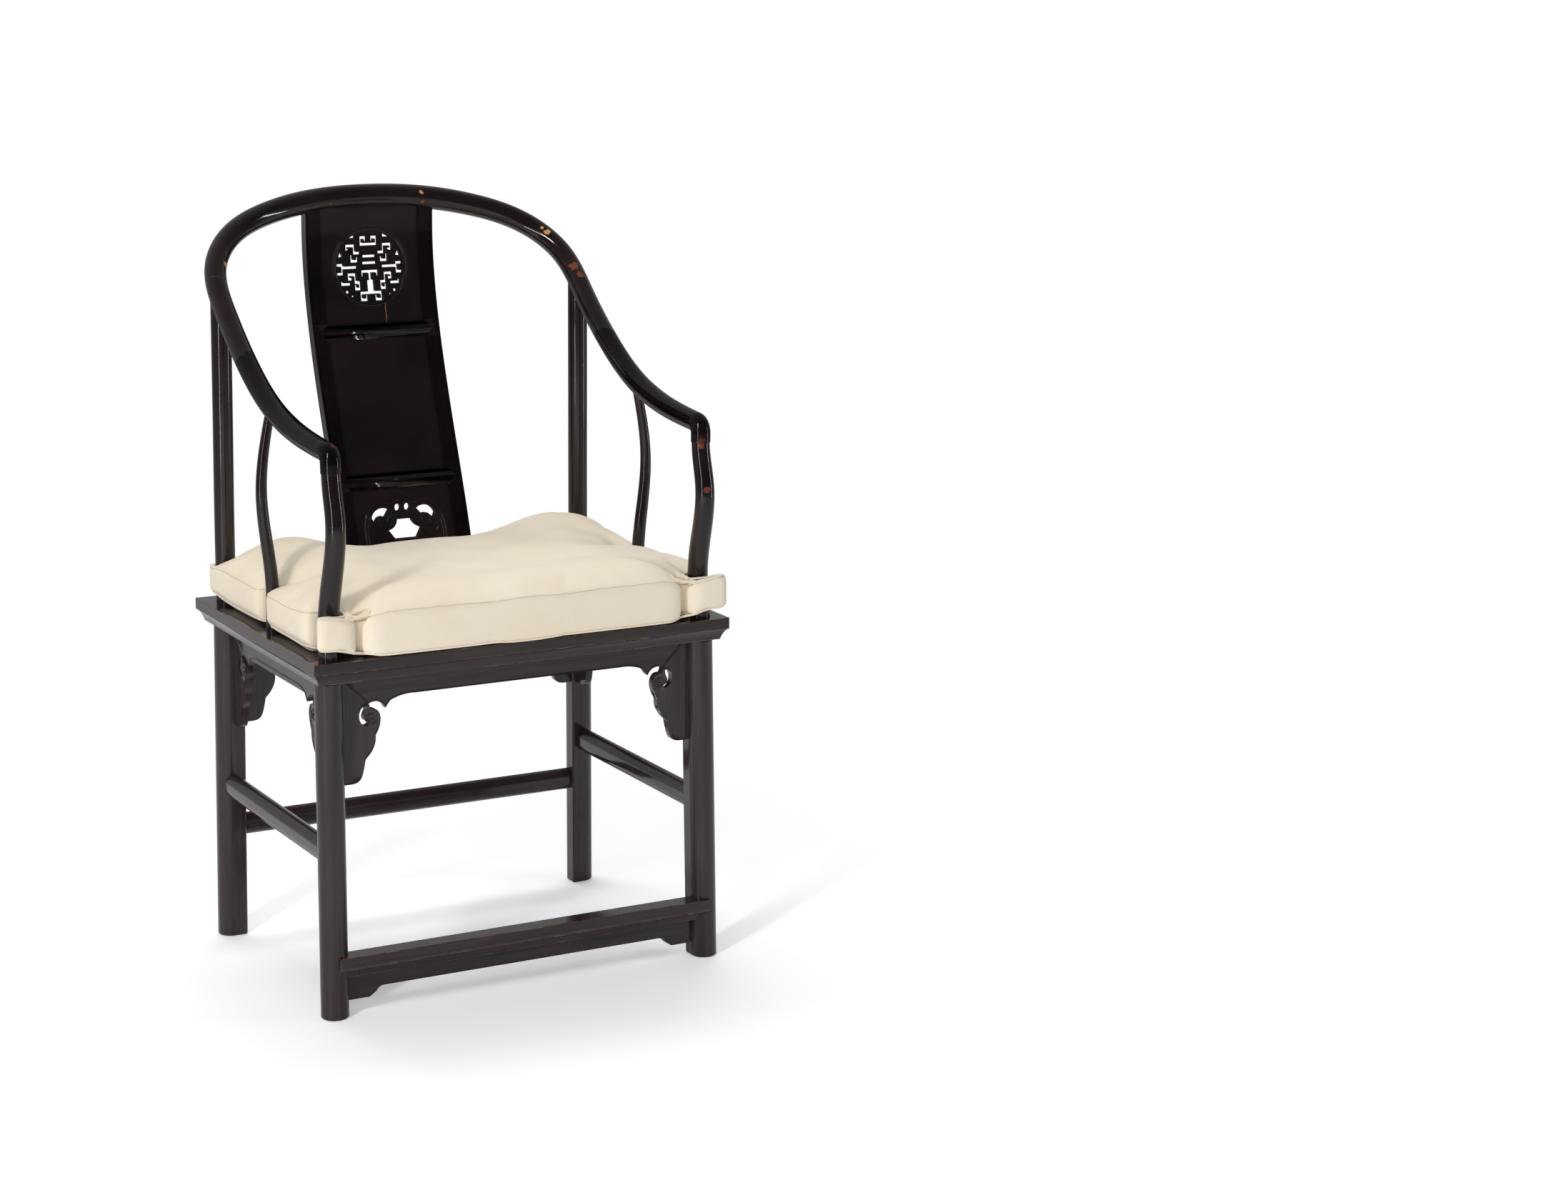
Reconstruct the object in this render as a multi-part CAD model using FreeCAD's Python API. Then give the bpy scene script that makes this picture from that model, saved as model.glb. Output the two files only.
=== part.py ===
import FreeCAD, Part
import math
import os

# Horseshoe back armchair of the east asian round-back kind, in millimetres.
# The sitter faces -Y, +X is to the right of someone who looks at its front, +Z is up.
# Every shape is drawn with the middle of the seat at x = 0, y = 0. At the end the
# whole chair is moved along Y, so that the origin lies under the middle of its box.

# Sizes of the whole chair
seat_height = 470.0          # floor to the top of the seat frame
seat_width = 585.0
seat_depth = 437.0
crest_above_seat = 523.7     # to the centre line of the crest rail, at its highest
crest_behind_seat = 88.9     # back edge of the seat frame to that centre line
arm_above_seat = 260.0       # to the centre line of the arms, at their front ends
arm_end_inset = 18.0         # front edge of the seat frame to the turned down arm ends
crest_inset = 31.5           # side edge of the seat frame to the arms' centre line

# Seat frame: four mitred rails round a board
frame_thickness = 30.0
frame_rail_width = 72.0
frame_band = 15.0            # upright band at the top of the moulded edge
frame_undercut = 9.0         # how far the moulding runs in below the band
moulding_hollow_share = 0.72 # of the undercut, halfway down the moulding
frame_tenon_thickness = 10.0
frame_tenon_width = 14.0
frame_tenon_set_in = 3.0     # tenon to the inner edge of the rail
frame_tenon_rise = 6.0       # underside of the rail up to the tenon
frame_tenon_cover = 46.0     # wood left beyond its end, where the posts pass through
seat_board_thickness = 10.0
seat_board_tongue = 7.0
batten_width = 36.0
batten_depth = 20.0
batten_gap = 190.0           # between the middles of the two battens
batten_tenon = 10.0
frame_pin_size = 4.5
frame_pin_inset = 6.0        # from the end of the tenon
frame_pin_length = 18.0

# Legs and the posts that they turn into above the seat
leg_diameter = 36.0          # round at the outer corner, square at the other three
leg_inset_side = 30.0        # leg centre to the edge of the seat frame
leg_inset_front = 30.0
leg_inset_back = 39.5
leg_splay_side = 4.0         # how far a foot stands out from the top of its leg
leg_splay_fore = 8.5
leg_arris = 2.5              # small bevel on the square corners
leg_foot_chamfer = 2.0
post_diameter = 27.0
post_shift_front = 3.5       # front posts stand this far forward of their legs
post_end_straight = 6.0      # upright length below the joint with the arm
front_waist_height = 55.0    # above the seat, where the front post leans back most
front_waist_back = 2.7
front_bulge_height = 178.0
front_bulge_out = 23.0
back_post_lean = 6.0         # how far the back post leans in by its top
back_post_bend_height = 75.0  # above the seat, where it starts to lean
side_post_set_back = 5.3     # side posts stand this far in front of the seat centre
side_post_inset = 27.5       # from the edge of the seat frame
side_post_foot_diameter = 19.0
side_post_middle_diameter = 15.0
side_post_top_diameter = 12.0
side_post_neck_diameter = 13.0   # where its straight upper part begins
side_post_straight_share = 0.4   # of the run from the bulge to the arm
side_post_middle_share = 0.66    # where it has its middle thickness
side_bulge_height = 178.0
side_bulge_out = 11.7

# Crest rail
crest_diameter_back = 32.0
crest_diameter_arm = 28.4
arm_drop = 24.0              # centre line of the arm down to the pipe joint
lap_length = 66.0            # each shoulder is a half lap held by a tapered key
lap_place_share = 0.385      # of the way along each half rail, from the middle
key_size = 7.0
key_taper = 1.5
key_cover = 3.0              # wood left over both ends of the key
# The rail is straight in short lengths: over the splat, over each post and at the elbow
splat_seat_ends = (22.0, 66.0, 110.0)   # from the middle of the back
post_seat_reach = (5.0, 30.0)    # behind and before a back post's centre
side_seat_reach = (9.0, 18.0)    # the same for a side post
arm_straight_length = 42.0

# Joints
joint_clearance = 0.15
post_tenon_diameter = 14.0
post_tenon_length = 15.0
side_tenon_diameter = 8.0     # at the foot; at the top it enters the arm whole
side_tenon_length = 27.0      # straight end of the post
side_tenon_rise = 3.0         # how far it passes the arm's centre line
seat_tenon_length = 16.0

# Back splat: two stiles, three cross rails and three panels, bent as one sheet
splat_half_width = 94.0
splat_thickness = 16.0
splat_panel_thickness = 8.0
stile_width = 21.0
panel_tongue = 5.0
splat_foot_inset = 55.6      # back edge of the seat frame to the splat, at seat height
splat_top_forward = 7.0      # its top in front of the crest rail's centre line
splat_arc_tolerance = 0.9    # between the drawn side view and its tangent arcs
upper_rail_place_share = 0.689   # tops of the cross rails, on the splat's height
upper_rail_width = 21.0
lower_rail_place_share = 0.301
lower_rail_width = 21.0
bottom_rail_width = 18.0
cross_tenon_length = 9.0
cross_tenon_thickness = 5.0
splat_tongue_rise = 9.0      # how far the splat stands into the crest rail
splat_tongue_depth = 13.0    # and into the seat frame

# Fret roundel carved through the top panel
roundel_place_share = 0.486  # its middle, up the top panel
roundel_radius = 51.0
fret_slot = 3.3              # width of the cut strokes

# Pierced cloud in the lower panel
cloud_drop = 27.0            # lower cross rail down to the top of the cloud
cloud_half_width = 47.0
cloud_rise = 42.0

# Aprons and spandrels under the seat
apron_thickness = 10.0
apron_drop = 28.0            # seat frame down to the straight lower edge
apron_set_back = 0.0         # front face to the line through the leg centres
apron_tongue = 6.0           # how far a board stands into a groove in the leg
spandrel_drop = 138.0        # seat frame down to the foot of a spandrel
spandrel_reach = 58.0        # leg to the tip of the cusp

# Stretchers and footrest
stretcher_tenon_length = 14.0
stretcher_tenon_thickness = 9.0
stretcher_tenon_height = 18.0
stretcher_round_shares = (0.62, 0.80)   # of half its width and height, where it is roundest
stretcher_flat_share = 0.25  # of half its height: the flat at each side
side_stretcher_drop = 225.0  # seat frame down to its middle
side_stretcher_tall = 34.0
side_stretcher_wide = 23.0
back_stretcher_drop = 285.0
back_stretcher_tall = 31.0
back_stretcher_wide = 22.0
footrest_top = 83.0
footrest_thickness = 29.0
footrest_band = 14.0
footrest_undercut = 8.0
footrest_depth = 27.0
footrest_proud = 5.0         # in front of the legs
footrest_apron_drop = 22.0
footrest_apron_end_drop = 35.0
footrest_apron_thickness = 9.0
footrest_cusp_from_leg = 30.0
footrest_cusp_length = 20.0
footrest_swell_share = 0.8   # roundness of its lower edge beside the cusp

# Loose cushion, cut to go round the posts
cushion_overhang = 8.0       # in front of the seat frame
cushion_side_inset = 6.0
cushion_back_inset = 15.0
cushion_seam_height = 55.0
cushion_crown = 22.0
cushion_corner_radius = 26.0
cushion_side_draw = 5.0      # how far each side draws in at its middle
cushion_belly = 7.0          # how far the top and bottom seams lie inside the band
cushion_post_gap = 4.5
cushion_slit = 4.0
cushion_slit_inboard = 23.0  # the front slits open this far inside the posts
cushion_rest_gap = 0.3
cushion_splat_gap = 3.0

# Values that follow from those above
V = FreeCAD.Vector
UP = V(0, 0, 1)
overrun = frame_thickness
half_width = seat_width / 2
half_depth = seat_depth / 2
frame_bottom = seat_height - frame_thickness
crest_height = seat_height + crest_above_seat
crest_back = half_depth + crest_behind_seat
crest_half_width = half_width - crest_inset
arm_height = seat_height + arm_above_seat
arm_reach = half_depth - arm_end_inset
splat_foot_back = half_depth - splat_foot_inset
splat_lean = crest_back - splat_top_forward - splat_foot_back
splat_height = crest_above_seat - crest_diameter_back / 2
upper_rail_top = splat_height * upper_rail_place_share
lower_rail_top = splat_height * lower_rail_place_share
roundel_height = upper_rail_top + (splat_height - upper_rail_top) * roundel_place_share
cloud_height = lower_rail_top - lower_rail_width - cloud_drop - cloud_rise
leg_radius = leg_diameter / 2
post_radius = post_diameter / 2
leg_x = half_width - leg_inset_side
front_leg_y = leg_inset_front - half_depth
back_leg_y = half_depth - leg_inset_back
front_post_y = front_leg_y - post_shift_front
side_post_x = half_width - side_post_inset
pipe_joint_height = arm_height - arm_drop
crest_radius_back = crest_diameter_back / 2
crest_radius_arm = crest_diameter_arm / 2


def box(x0, x1, y0, y1, z0, z1):
    """A block between two corners."""
    low = V(min(x0, x1), min(y0, y1), min(z0, z1))
    return Part.makeBox(abs(x1 - x0), abs(y1 - y0), abs(z1 - z0), low)


def rod(start, end, radius):
    """A round rod between two points."""
    return Part.makeCylinder(radius, (end - start).Length, start, end - start)


def outline(start, steps, place):
    """A face inside a closed outline.

    Each step is (end,) for a straight edge or (point on the way, end) for an arc.
    place turns the two numbers of a point into a place in space.
    """
    edges = []
    here = start
    for step in steps:
        if len(step) == 1:
            edges.append(Part.LineSegment(place(*here), place(*step[0])).toShape())
        else:
            edges.append(Part.Arc(place(*here), place(*step[0]), place(*step[1])).toShape())
        here = step[-1]
    return Part.Face(Part.Wire(edges))


def mirrored(shape):
    """The same shape on the other side of the chair."""
    return shape.mirror(V(0, 0, 0), V(1, 0, 0))


def joined(shapes):
    """One solid from shapes that touch or overlap."""
    whole = shapes[0].fuse(shapes[1:])
    return whole.removeSplitter()


def smooth_curve(points, start_way=None, end_way=None):
    """A curve through the points; a way is the direction that it has at an end."""
    curve = Part.BSplineCurve()
    if start_way is None:
        curve.interpolate(Points=points)
    else:
        curve.interpolate(Points=points, InitialTangent=start_way, FinalTangent=end_way)
    return curve


quarters = (45, 135, 225, 315, 405)
upper_half = (-90, -45, 45, 90)
lower_half = (90, 135, 225, 270)


def ring(centre, way, side, radius, angles=quarters):
    """A circle square to way, in arcs between angles that are counted from side.

    Angles that don't go all the way round are closed by a straight line.
    """
    side = side - way * side.dot(way)
    side.normalize()
    across = way.cross(side)

    def spoke(angle):
        turn = math.radians(angle)
        return centre + side * (radius * math.cos(turn)) + across * (radius * math.sin(turn))

    edges = []
    for a0, a1 in zip(angles, angles[1:]):
        arc = Part.Arc(spoke(a0), spoke((a0 + a1) / 2), spoke(a1))
        edges.append(arc.toBSpline(arc.FirstParameter, arc.LastParameter).toShape())
    if angles != quarters:
        edges.append(Part.LineSegment(spoke(angles[-1]), spoke(angles[0])).toShape())
    return Part.Wire(edges)


def ring_places(curve, count, first=None, last=None):
    """Where the rings of a bar lie: closer together where its curve turns more.

    Gives pairs of a parameter of the curve and the share of its length gone by there.
    """
    steps = 8 * count
    first = curve.FirstParameter if first is None else first
    last = curve.LastParameter if last is None else last
    places = [first + (last - first) * n / steps for n in range(steps + 1)]
    gone = [0.0]
    turned = [0.0]
    for here, there in zip(places, places[1:]):
        way, next_way = V(*curve.tangent(here)[0]), V(*curve.tangent(there)[0])
        gone.append(gone[-1] + (curve.value(there) - curve.value(here)).Length)
        turned.append(turned[-1] + way.getAngle(next_way))
    weights = [(a / gone[-1] + b / turned[-1]) / 2 for a, b in zip(gone, turned)]
    chosen = []
    for number in range(count):
        wanted = number / (count - 1)
        nearest = min(range(steps + 1), key=lambda n: abs(weights[n] - wanted))
        chosen.append((places[nearest], gone[nearest] / gone[-1]))
    return chosen


def points_along(curve, count, first=None, last=None):
    """Points of a curve, closer together where it turns more."""
    return [curve.value(at) for at, _ in ring_places(curve, count, first, last)]


def round_bar(curve, radius_at, ring_count, side):
    """A bar of round section along a curve; radius_at takes a share of its length.

    side points at the middle of one of the four faces that each length of it has.
    """
    rings = []
    for at, share in ring_places(curve, ring_count):
        way = V(*curve.tangent(at)[0])
        way.normalize()
        rings.append(ring(curve.value(at), way, side, radius_at(share)))
    return Part.makeLoft(rings, True, True)


def mitred(points, radius):
    """Straight round lengths from point to point, mitred where they meet."""
    ways = [there - here for here, there in zip(points, points[1:])]
    for way in ways:
        way.normalize()
    lengths = []
    for number, way in enumerate(ways):
        start, end = points[number], points[number + 1]
        cuts = []
        if number > 0:
            cuts.append((start, -way - ways[number - 1]))
            start = start - way * radius
        if number + 1 < len(ways):
            cuts.append((end, way + ways[number + 1]))
            end = end + way * radius
        length = rod(start, end, radius)
        for at, normal in cuts:
            length = length.cut(Part.makeCylinder(3 * radius, 3 * radius, at, normal))
        lengths.append(length)
    return joined(lengths)


def largest(shape):
    """The largest solid of a shape that was cut into several."""
    return sorted(shape.Solids, key=lambda solid: solid.Volume)[-1]


def planed(shape):
    """The same solid, with each flat face of a loft made a true plane."""
    faces = []
    for face in shape.Faces:
        plane = face.findPlane()
        faces.append(Part.Face(plane, face.OuterWire) if plane else face)
    return Part.makeSolid(Part.Shell(faces))


def blend_radius(shares_and_radii):
    """A function that runs straight from one named radius to the next."""
    def radius_at(share):
        for (s0, r0), (s1, r1) in zip(shares_and_radii, shares_and_radii[1:]):
            if share <= s1:
                return r0 + (r1 - r0) * (share - s0) / (s1 - s0)
        return shares_and_radii[-1][1]
    return radius_at


# Crest rail: its centre line as shares of its half width, its depth and its rise,
# from the middle of the back round the shoulder to the end of the arm
crest_shares = [
    (0.0, 1.0, 1.0),
    (0.287, 0.9935, 0.9865),
    (0.561, 0.9600, 0.9412),
    (0.813, 0.8989, 0.8510),
    (0.970, 0.8102, 0.6978),
    (1.0, 0.6994, 0.5044),
    (1.0, 0.5825, 0.3311),
    (0.998, 0.3893, 0.1244),
    (0.995, 0.2471, 0.0482),
    (0.988, 0.0, 0.0),
]
crest_depth = crest_back + arm_reach
crest_rise = crest_height - arm_height
crest_half = [
    V(x * crest_half_width, y * crest_depth - arm_reach, z * crest_rise + arm_height)
    for x, y, z in crest_shares
]
crest_other_half = [V(-p.x, p.y, p.z) for p in crest_half[1:]]
crest_curve = smooth_curve(list(reversed(crest_other_half)) + crest_half)
arm_end = crest_half[-1]
crest_middle = crest_curve.length() / 2
lap_middle = crest_middle * lap_place_share
wing_ring_count = 5
bend_ring_count = 7
arm_ring_count = 4
lap_ring_count = 3
post_ring_count = 7


def crest_at(distance):
    """Parameter of the rail's centre line at a distance from the middle of the back."""
    return crest_curve.parameterAtDistance(crest_middle + distance, crest_curve.FirstParameter)


def crest_distance(y):
    """Distance from the middle of the back to where the right half has a given y."""
    low = 0.0
    high = crest_middle
    for _ in range(40):
        middle = (low + high) / 2
        if crest_curve.value(crest_at(middle)).y > y:
            low = middle
        else:
            high = middle
    return low


def crest_point(y):
    """Point of the right half of the crest rail's centre line at a given y."""
    return crest_curve.value(crest_at(crest_distance(y)))


def straight_over(y, reach):
    """Ends of the straight length over a post, from the middle of the back."""
    crossing = crest_distance(y)
    return [crossing - reach[0], crossing + reach[1]]


post_seat = straight_over(back_leg_y - back_post_lean, post_seat_reach)
side_seat = straight_over(-side_post_set_back, side_seat_reach)


def crest_radius(distance):
    """The rail is thickest over the splat and thins towards the back posts."""
    start = splat_seat_ends[-1]
    share = (distance - start) / (post_seat[0] - start)
    share = min(1.0, max(0.0, share))
    return crest_radius_back + (crest_radius_arm - crest_radius_back) * share


def stations(start, end, count, start_way=None, end_way=None):
    """Centre, direction and radius of the rings of one run of the rail."""
    placed = []
    for at, share in ring_places(crest_curve, count, crest_at(start), crest_at(end)):
        way = V(*crest_curve.tangent(at)[0])
        placed.append([crest_curve.value(at), way, crest_radius(start + share * (end - start))])
    if start_way is not None:
        placed[0][1] = start_way
    if end_way is not None:
        placed[-1][1] = end_way
    for place in placed:
        place[1] = V(place[1])
        place[1].normalize()
    return placed


def run_of_rail(placed, angles=quarters):
    """A length of the rail through its rings, whole or only its upper or lower half."""
    wires = [ring(centre, way, UP, radius, angles) for centre, way, radius in placed]
    return Part.makeLoft(wires, True, True)


def shoulder_frame():
    """Origin and axes of the right shoulder joint: along, sideways and upwards."""
    at = crest_at(lap_middle)
    along = V(*crest_curve.tangent(at)[0])
    along.normalize()
    sideways = UP.cross(along)
    sideways.normalize()
    return crest_curve.value(at), along, sideways, along.cross(sideways)


def lap_key(grow):
    """The tapered square key that wedges a shoulder lap together."""
    origin, along, sideways, upwards = shoulder_frame()
    reach = crest_radius_arm - key_cover + grow
    thin = (key_size - key_taper) / 2 + grow
    wide = key_size / 2 + grow
    wedge = Part.makeWedge(-thin, -reach, -thin, -wide, -wide, thin, reach, thin, wide, wide)
    place = FreeCAD.Matrix(
        sideways.x, upwards.x, along.x, origin.x,
        sideways.y, upwards.y, along.y, origin.y,
        sideways.z, upwards.z, along.z, origin.z,
        0, 0, 0, 1)
    wedge.Placement = FreeCAD.Placement(place)
    return wedge


def arm_elbow(end_way):
    """The rounded outer corner where an arm turns down: a slice of a ball."""
    fore = V(end_way)
    fore.normalize()
    axle = UP.cross(fore)
    axle.normalize()
    outer = fore.cross(axle)
    near, far = arm_end - axle * crest_radius_arm, arm_end + axle * crest_radius_arm
    edge = Part.Arc(near, arm_end + outer * crest_radius_arm, far).toShape()
    half = Part.Face(Part.Wire([edge, Part.LineSegment(far, near).toShape()]))
    return half.revolve(arm_end, axle, math.degrees(fore.getAngle(-UP)))


def crest_rail():
    """The three sections of the rail and the two keys, before any mortise.

    On each shoulder the centre section keeps the upper half of a lap and the arm the
    lower half. The arm runs straight where a post's tenon goes in, and at its end.
    """
    lap_start, lap_end = lap_middle - lap_length / 2, lap_middle + lap_length / 2
    straight_start = crest_middle - arm_straight_length

    def chord(start, end):
        return crest_curve.value(crest_at(end)) - crest_curve.value(crest_at(start))

    lap = stations(lap_start, lap_end, lap_ring_count)
    shoulder = stations(lap_end, post_seat[0], 2, end_way=chord(*post_seat))
    turns = [crest_curve.value(crest_at(post_seat[0]))]
    for start, end, count in ((post_seat[1], side_seat[0], bend_ring_count),
                              (side_seat[1], straight_start, arm_ring_count)):
        turns += points_along(crest_curve, count, crest_at(start), crest_at(end))
    turns.append(arm_end)
    drop = rod(V(arm_end.x, arm_end.y, pipe_joint_height), arm_end, crest_radius_arm)
    right_arm = joined([
        run_of_rail(lap, lower_half), run_of_rail(shoulder), mitred(turns, crest_radius_arm),
        arm_elbow(chord(straight_start, crest_middle)), drop])
    upper_lap = run_of_rail(lap, upper_half)
    ends = [-d for d in reversed(splat_seat_ends)] + list(splat_seat_ends)
    back = mitred([crest_curve.value(crest_at(d)) for d in ends], crest_radius_back)
    wing = run_of_rail(stations(ends[-1], lap_start, wing_ring_count,
                                start_way=chord(ends[-2], ends[-1])))
    centre = joined([back, wing, mirrored(wing), upper_lap, mirrored(upper_lap)])
    hole = lap_key(joint_clearance)
    return centre.cut(hole).cut(mirrored(hole)), right_arm.cut(hole), lap_key(0.0)


def leg_section(corner_x, corner_y, foot, top):
    """Outline of a leg, square to its axis: square but for its round outer corner."""
    r = leg_radius
    c = leg_arris
    axis = top - foot
    axis.normalize()
    fore = axis.cross(V(1, 0, 0))
    fore.normalize()
    side = fore.cross(axis)

    def place(x, y):
        return foot + side * (corner_x * x) + fore * (corner_y * y)

    diagonal = -r / math.sqrt(2)
    steps = [((r - c, -r),), ((r, c - r),), ((r, r - c),), ((r - c, r),), ((c - r, r),),
             ((-r, r - c),), ((-r, 0),), ((diagonal, diagonal), (0, -r))]
    return outline((0, -r), steps, place)


def leg(top_y, way_y):
    """The right leg below the seat; way_y is the side towards which its foot splays."""
    foot = leg_centre(top_y, way_y, -overrun)
    top = leg_centre(top_y, way_y, frame_bottom + overrun)
    body = leg_section(-1, -way_y, foot, top).extrude(top - foot)
    body = body.common(box(0, seat_width, -seat_depth, seat_depth, 0, frame_bottom))
    sole = [edge for edge in body.Edges if edge.BoundBox.ZMax < joint_clearance]
    return body.makeChamfer(leg_foot_chamfer, sole)


def leg_centre(top_y, way_y, height):
    """Centre of the right leg at a height."""
    share = 1 - height / frame_bottom
    return V(leg_x + share * leg_splay_side, top_y + share * way_y * leg_splay_fore, height)


def front_leg():
    """Right front leg and curved post in one piece of wood, round through the seat."""
    start = V(leg_x, front_post_y, frame_bottom)
    foot = V(leg_x, front_post_y, seat_height)
    waist = V(leg_x - (leg_x - arm_end.x) / 2, front_post_y + front_waist_back,
              seat_height + front_waist_height)
    bulge = V(arm_end.x, front_post_y - front_bulge_out + front_waist_back,
              seat_height + front_bulge_height)
    joint = V(arm_end.x, arm_end.y, pipe_joint_height)
    curve = smooth_curve([foot, waist, bulge, joint - UP * post_end_straight], UP, UP)
    post = mitred([start] + points_along(curve, post_ring_count) + [joint], post_radius)
    tenon = rod(joint - UP * post_tenon_length, joint + UP * post_tenon_length,
                post_tenon_diameter / 2)
    return joined([leg(front_leg_y, -1), post, tenon])


def back_leg(rails):
    """Right back leg and post; the top is shaped to the underside of the rail."""
    start = V(leg_x, back_leg_y, frame_bottom)
    foot = V(leg_x, back_leg_y, seat_height)
    bend = foot + UP * back_post_bend_height
    top = crest_point(back_leg_y - back_post_lean)
    curve = smooth_curve([foot, bend], UP, top - bend)
    post = mitred([start] + points_along(curve, post_ring_count // 2) + [top], post_radius)
    for rail in rails:
        post = largest(post.cut(rail))
    tenon = rod(top - UP * 2 * post_tenon_length, top, post_tenon_diameter / 2)
    return joined([leg(back_leg_y, 1), post, tenon])


def side_post():
    """Right side post, a slender double curve, and the hole in the rail for its end."""
    foot = V(side_post_x, -side_post_set_back, seat_height)
    bulge = V(side_post_x + side_bulge_out, foot.y, seat_height + side_bulge_height)
    top = crest_point(foot.y)
    low = V(foot.x, foot.y, seat_height + front_waist_height)
    neck_at = top + (bulge - top) * side_post_straight_share
    curve = smooth_curve([foot, low, bulge, neck_at], UP, top - bulge)
    radii = [(0, side_post_foot_diameter / 2),
             (side_post_middle_share, side_post_middle_diameter / 2),
             (1, side_post_neck_diameter / 2)]
    bowed = round_bar(curve, blend_radius(radii), post_ring_count, V(0, 1, 0))
    end = curve.value(curve.LastParameter)
    way = top - end
    way.normalize()
    tip = top + way * side_tenon_rise
    entry = tip - way * side_tenon_length
    radius = side_post_top_diameter / 2
    neck_ring = ring(end, way, V(0, 1, 0), side_post_neck_diameter / 2)
    taper = Part.makeLoft([neck_ring, ring(entry, way, V(0, 1, 0), radius)], True, True)
    lower = rod(foot - UP * seat_tenon_length, foot + UP * seat_tenon_length,
                side_tenon_diameter / 2)
    post = joined([bowed, taper, rod(entry, tip, radius), lower])
    return post, rod(entry, tip + way * joint_clearance, radius + joint_clearance)


def tenon_hole(centre, depth_up, depth_down, diameter):
    """The mortise for an upright round tenon."""
    radius = diameter / 2 + joint_clearance
    return rod(centre - UP * depth_down, centre + UP * depth_up, radius)


def moulded_rail(length, depth, top, thickness, band, undercut):
    """A rail along X whose front edge, at y = 0, is a band over a hollow moulding."""
    low = top - thickness
    step = undercut / 3

    def place(y, z):
        return V(-length / 2, y, z)

    hollow = (undercut * moulding_hollow_share, (top - band + low) / 2)
    steps = [((0, top - band),), ((step / 2, top - band),), (hollow, (undercut, low)),
             ((depth, low),), ((depth, top),), ((0, top),)]
    return outline((0, top), steps, place).extrude(V(length, 0, 0))


def frame_plan(side):
    """Upright walls over the mitred plan of the front rail, or of the right one."""
    w, d, r = half_width, half_depth, frame_rail_width
    if side:
        corners = [(w, -d), (w, d), (w - r, d - r), (w - r, r - d)]
    else:
        corners = [(-w, -d), (w, -d), (w - r, r - d), (r - w, r - d)]
    points = [V(x, y, frame_bottom) for x, y in corners]
    return Part.Face(Part.makePolygon(points + [points[0]])).extrude(UP * frame_thickness)


def frame_tenons(grow):
    """Tenons at the two ends of the front rail."""
    inner = frame_rail_width - half_depth - frame_tenon_set_in
    end = half_width - frame_tenon_cover + grow
    start = half_width - frame_rail_width - frame_tenon_width
    low = frame_bottom + frame_tenon_rise
    high = low + frame_tenon_thickness
    right = box(start, end, inner - frame_tenon_width - grow, inner + grow, low - grow, high + grow)
    return right, mirrored(right)


def turned_to_back(shape):
    """The same shape turned half round, from the front of the seat to its back."""
    turned = shape.copy()
    turned.rotate(V(0, 0, 0), UP, 180)
    return turned


def frame_pins():
    """Square pins that lock the tenons of the seat frame, from below."""
    half = frame_pin_size / 2
    x = half_width - frame_tenon_cover - frame_pin_inset
    y = half_depth - frame_rail_width + frame_tenon_set_in + frame_tenon_width / 2
    pins = []
    for sx in (-1, 1):
        for sy in (-1, 1):
            pins.append(box(sx * x - half, sx * x + half, sy * y - half, sy * y + half,
                            frame_bottom, frame_bottom + frame_pin_length))
    return pins


def board_outline(reach, low, high):
    """A block that fills the seat opening and reaches into the rails by some amount."""
    x = half_width - frame_rail_width + reach
    y = half_depth - frame_rail_width + reach
    return box(-x, x, -y, y, low, high)


def seat_board(grow):
    """The seat board with a tongue all round its lower half."""
    low = seat_height - seat_board_thickness
    middle = seat_height - seat_board_thickness / 2
    tongue = board_outline(seat_board_tongue + grow, low - grow, middle + grow)
    return tongue.fuse(board_outline(0, low, seat_height)).removeSplitter()


def batten(x, grow):
    """A cross piece below the board, from the front rail to the back rail."""
    top = seat_height - seat_board_thickness
    y = half_depth - frame_rail_width
    bar = box(x - batten_width / 2, x + batten_width / 2, -y, y, top - batten_depth, top)
    third = batten_depth / 3
    tenon = box(x - batten_width / 3 - grow, x + batten_width / 3 + grow,
                -y - batten_tenon - grow, y + batten_tenon + grow,
                top - 2 * third - grow, top - third + grow)
    return bar, tenon


# Splat: its side view as shares of the height above the seat and of the lean
splat_shares = [
    (-0.04, -0.046), (0.0, 0.0), (0.185, 0.214), (0.370, 0.472), (0.556, 0.720),
    (0.740, 0.915), (0.926, 0.998), (1.03, 0.985),
]
splat_line = smooth_curve([
    V(0, splat_foot_back + lean * splat_lean, seat_height + rise * splat_height)
    for rise, lean in splat_shares])
splat_arcs = splat_line.toBiArcs(splat_arc_tolerance)


def bent_sheet(thickness):
    """A sheet as wide as the splat that follows its side view, in tangent arcs."""
    sides = {}
    for way in (-1, 1):
        points = []
        for arc in splat_arcs:
            start, end = arc.value(arc.FirstParameter), arc.value(arc.LastParameter)
            middle = arc.value((arc.FirstParameter + arc.LastParameter) / 2)
            for point in (start, middle, end):
                outwards = point - arc.Center
                outwards.normalize()
                turn = 1 if outwards.y > 0 else -1
                points.append(point + outwards * (turn * way * thickness / 2))
        sides[way] = points
    edges = []
    for points in sides.values():
        for n in range(0, len(points), 3):
            edges.append(Part.Arc(points[n], points[n + 1], points[n + 2]).toShape())
    for n in (0, -1):
        edges.append(Part.LineSegment(sides[-1][n], sides[1][n]).toShape())
    face = Part.Face(Part.Wire(Part.__sortEdges__(edges)))
    face.translate(V(-splat_half_width, 0, 0))
    return face.extrude(V(2 * splat_half_width, 0, 0))


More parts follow.
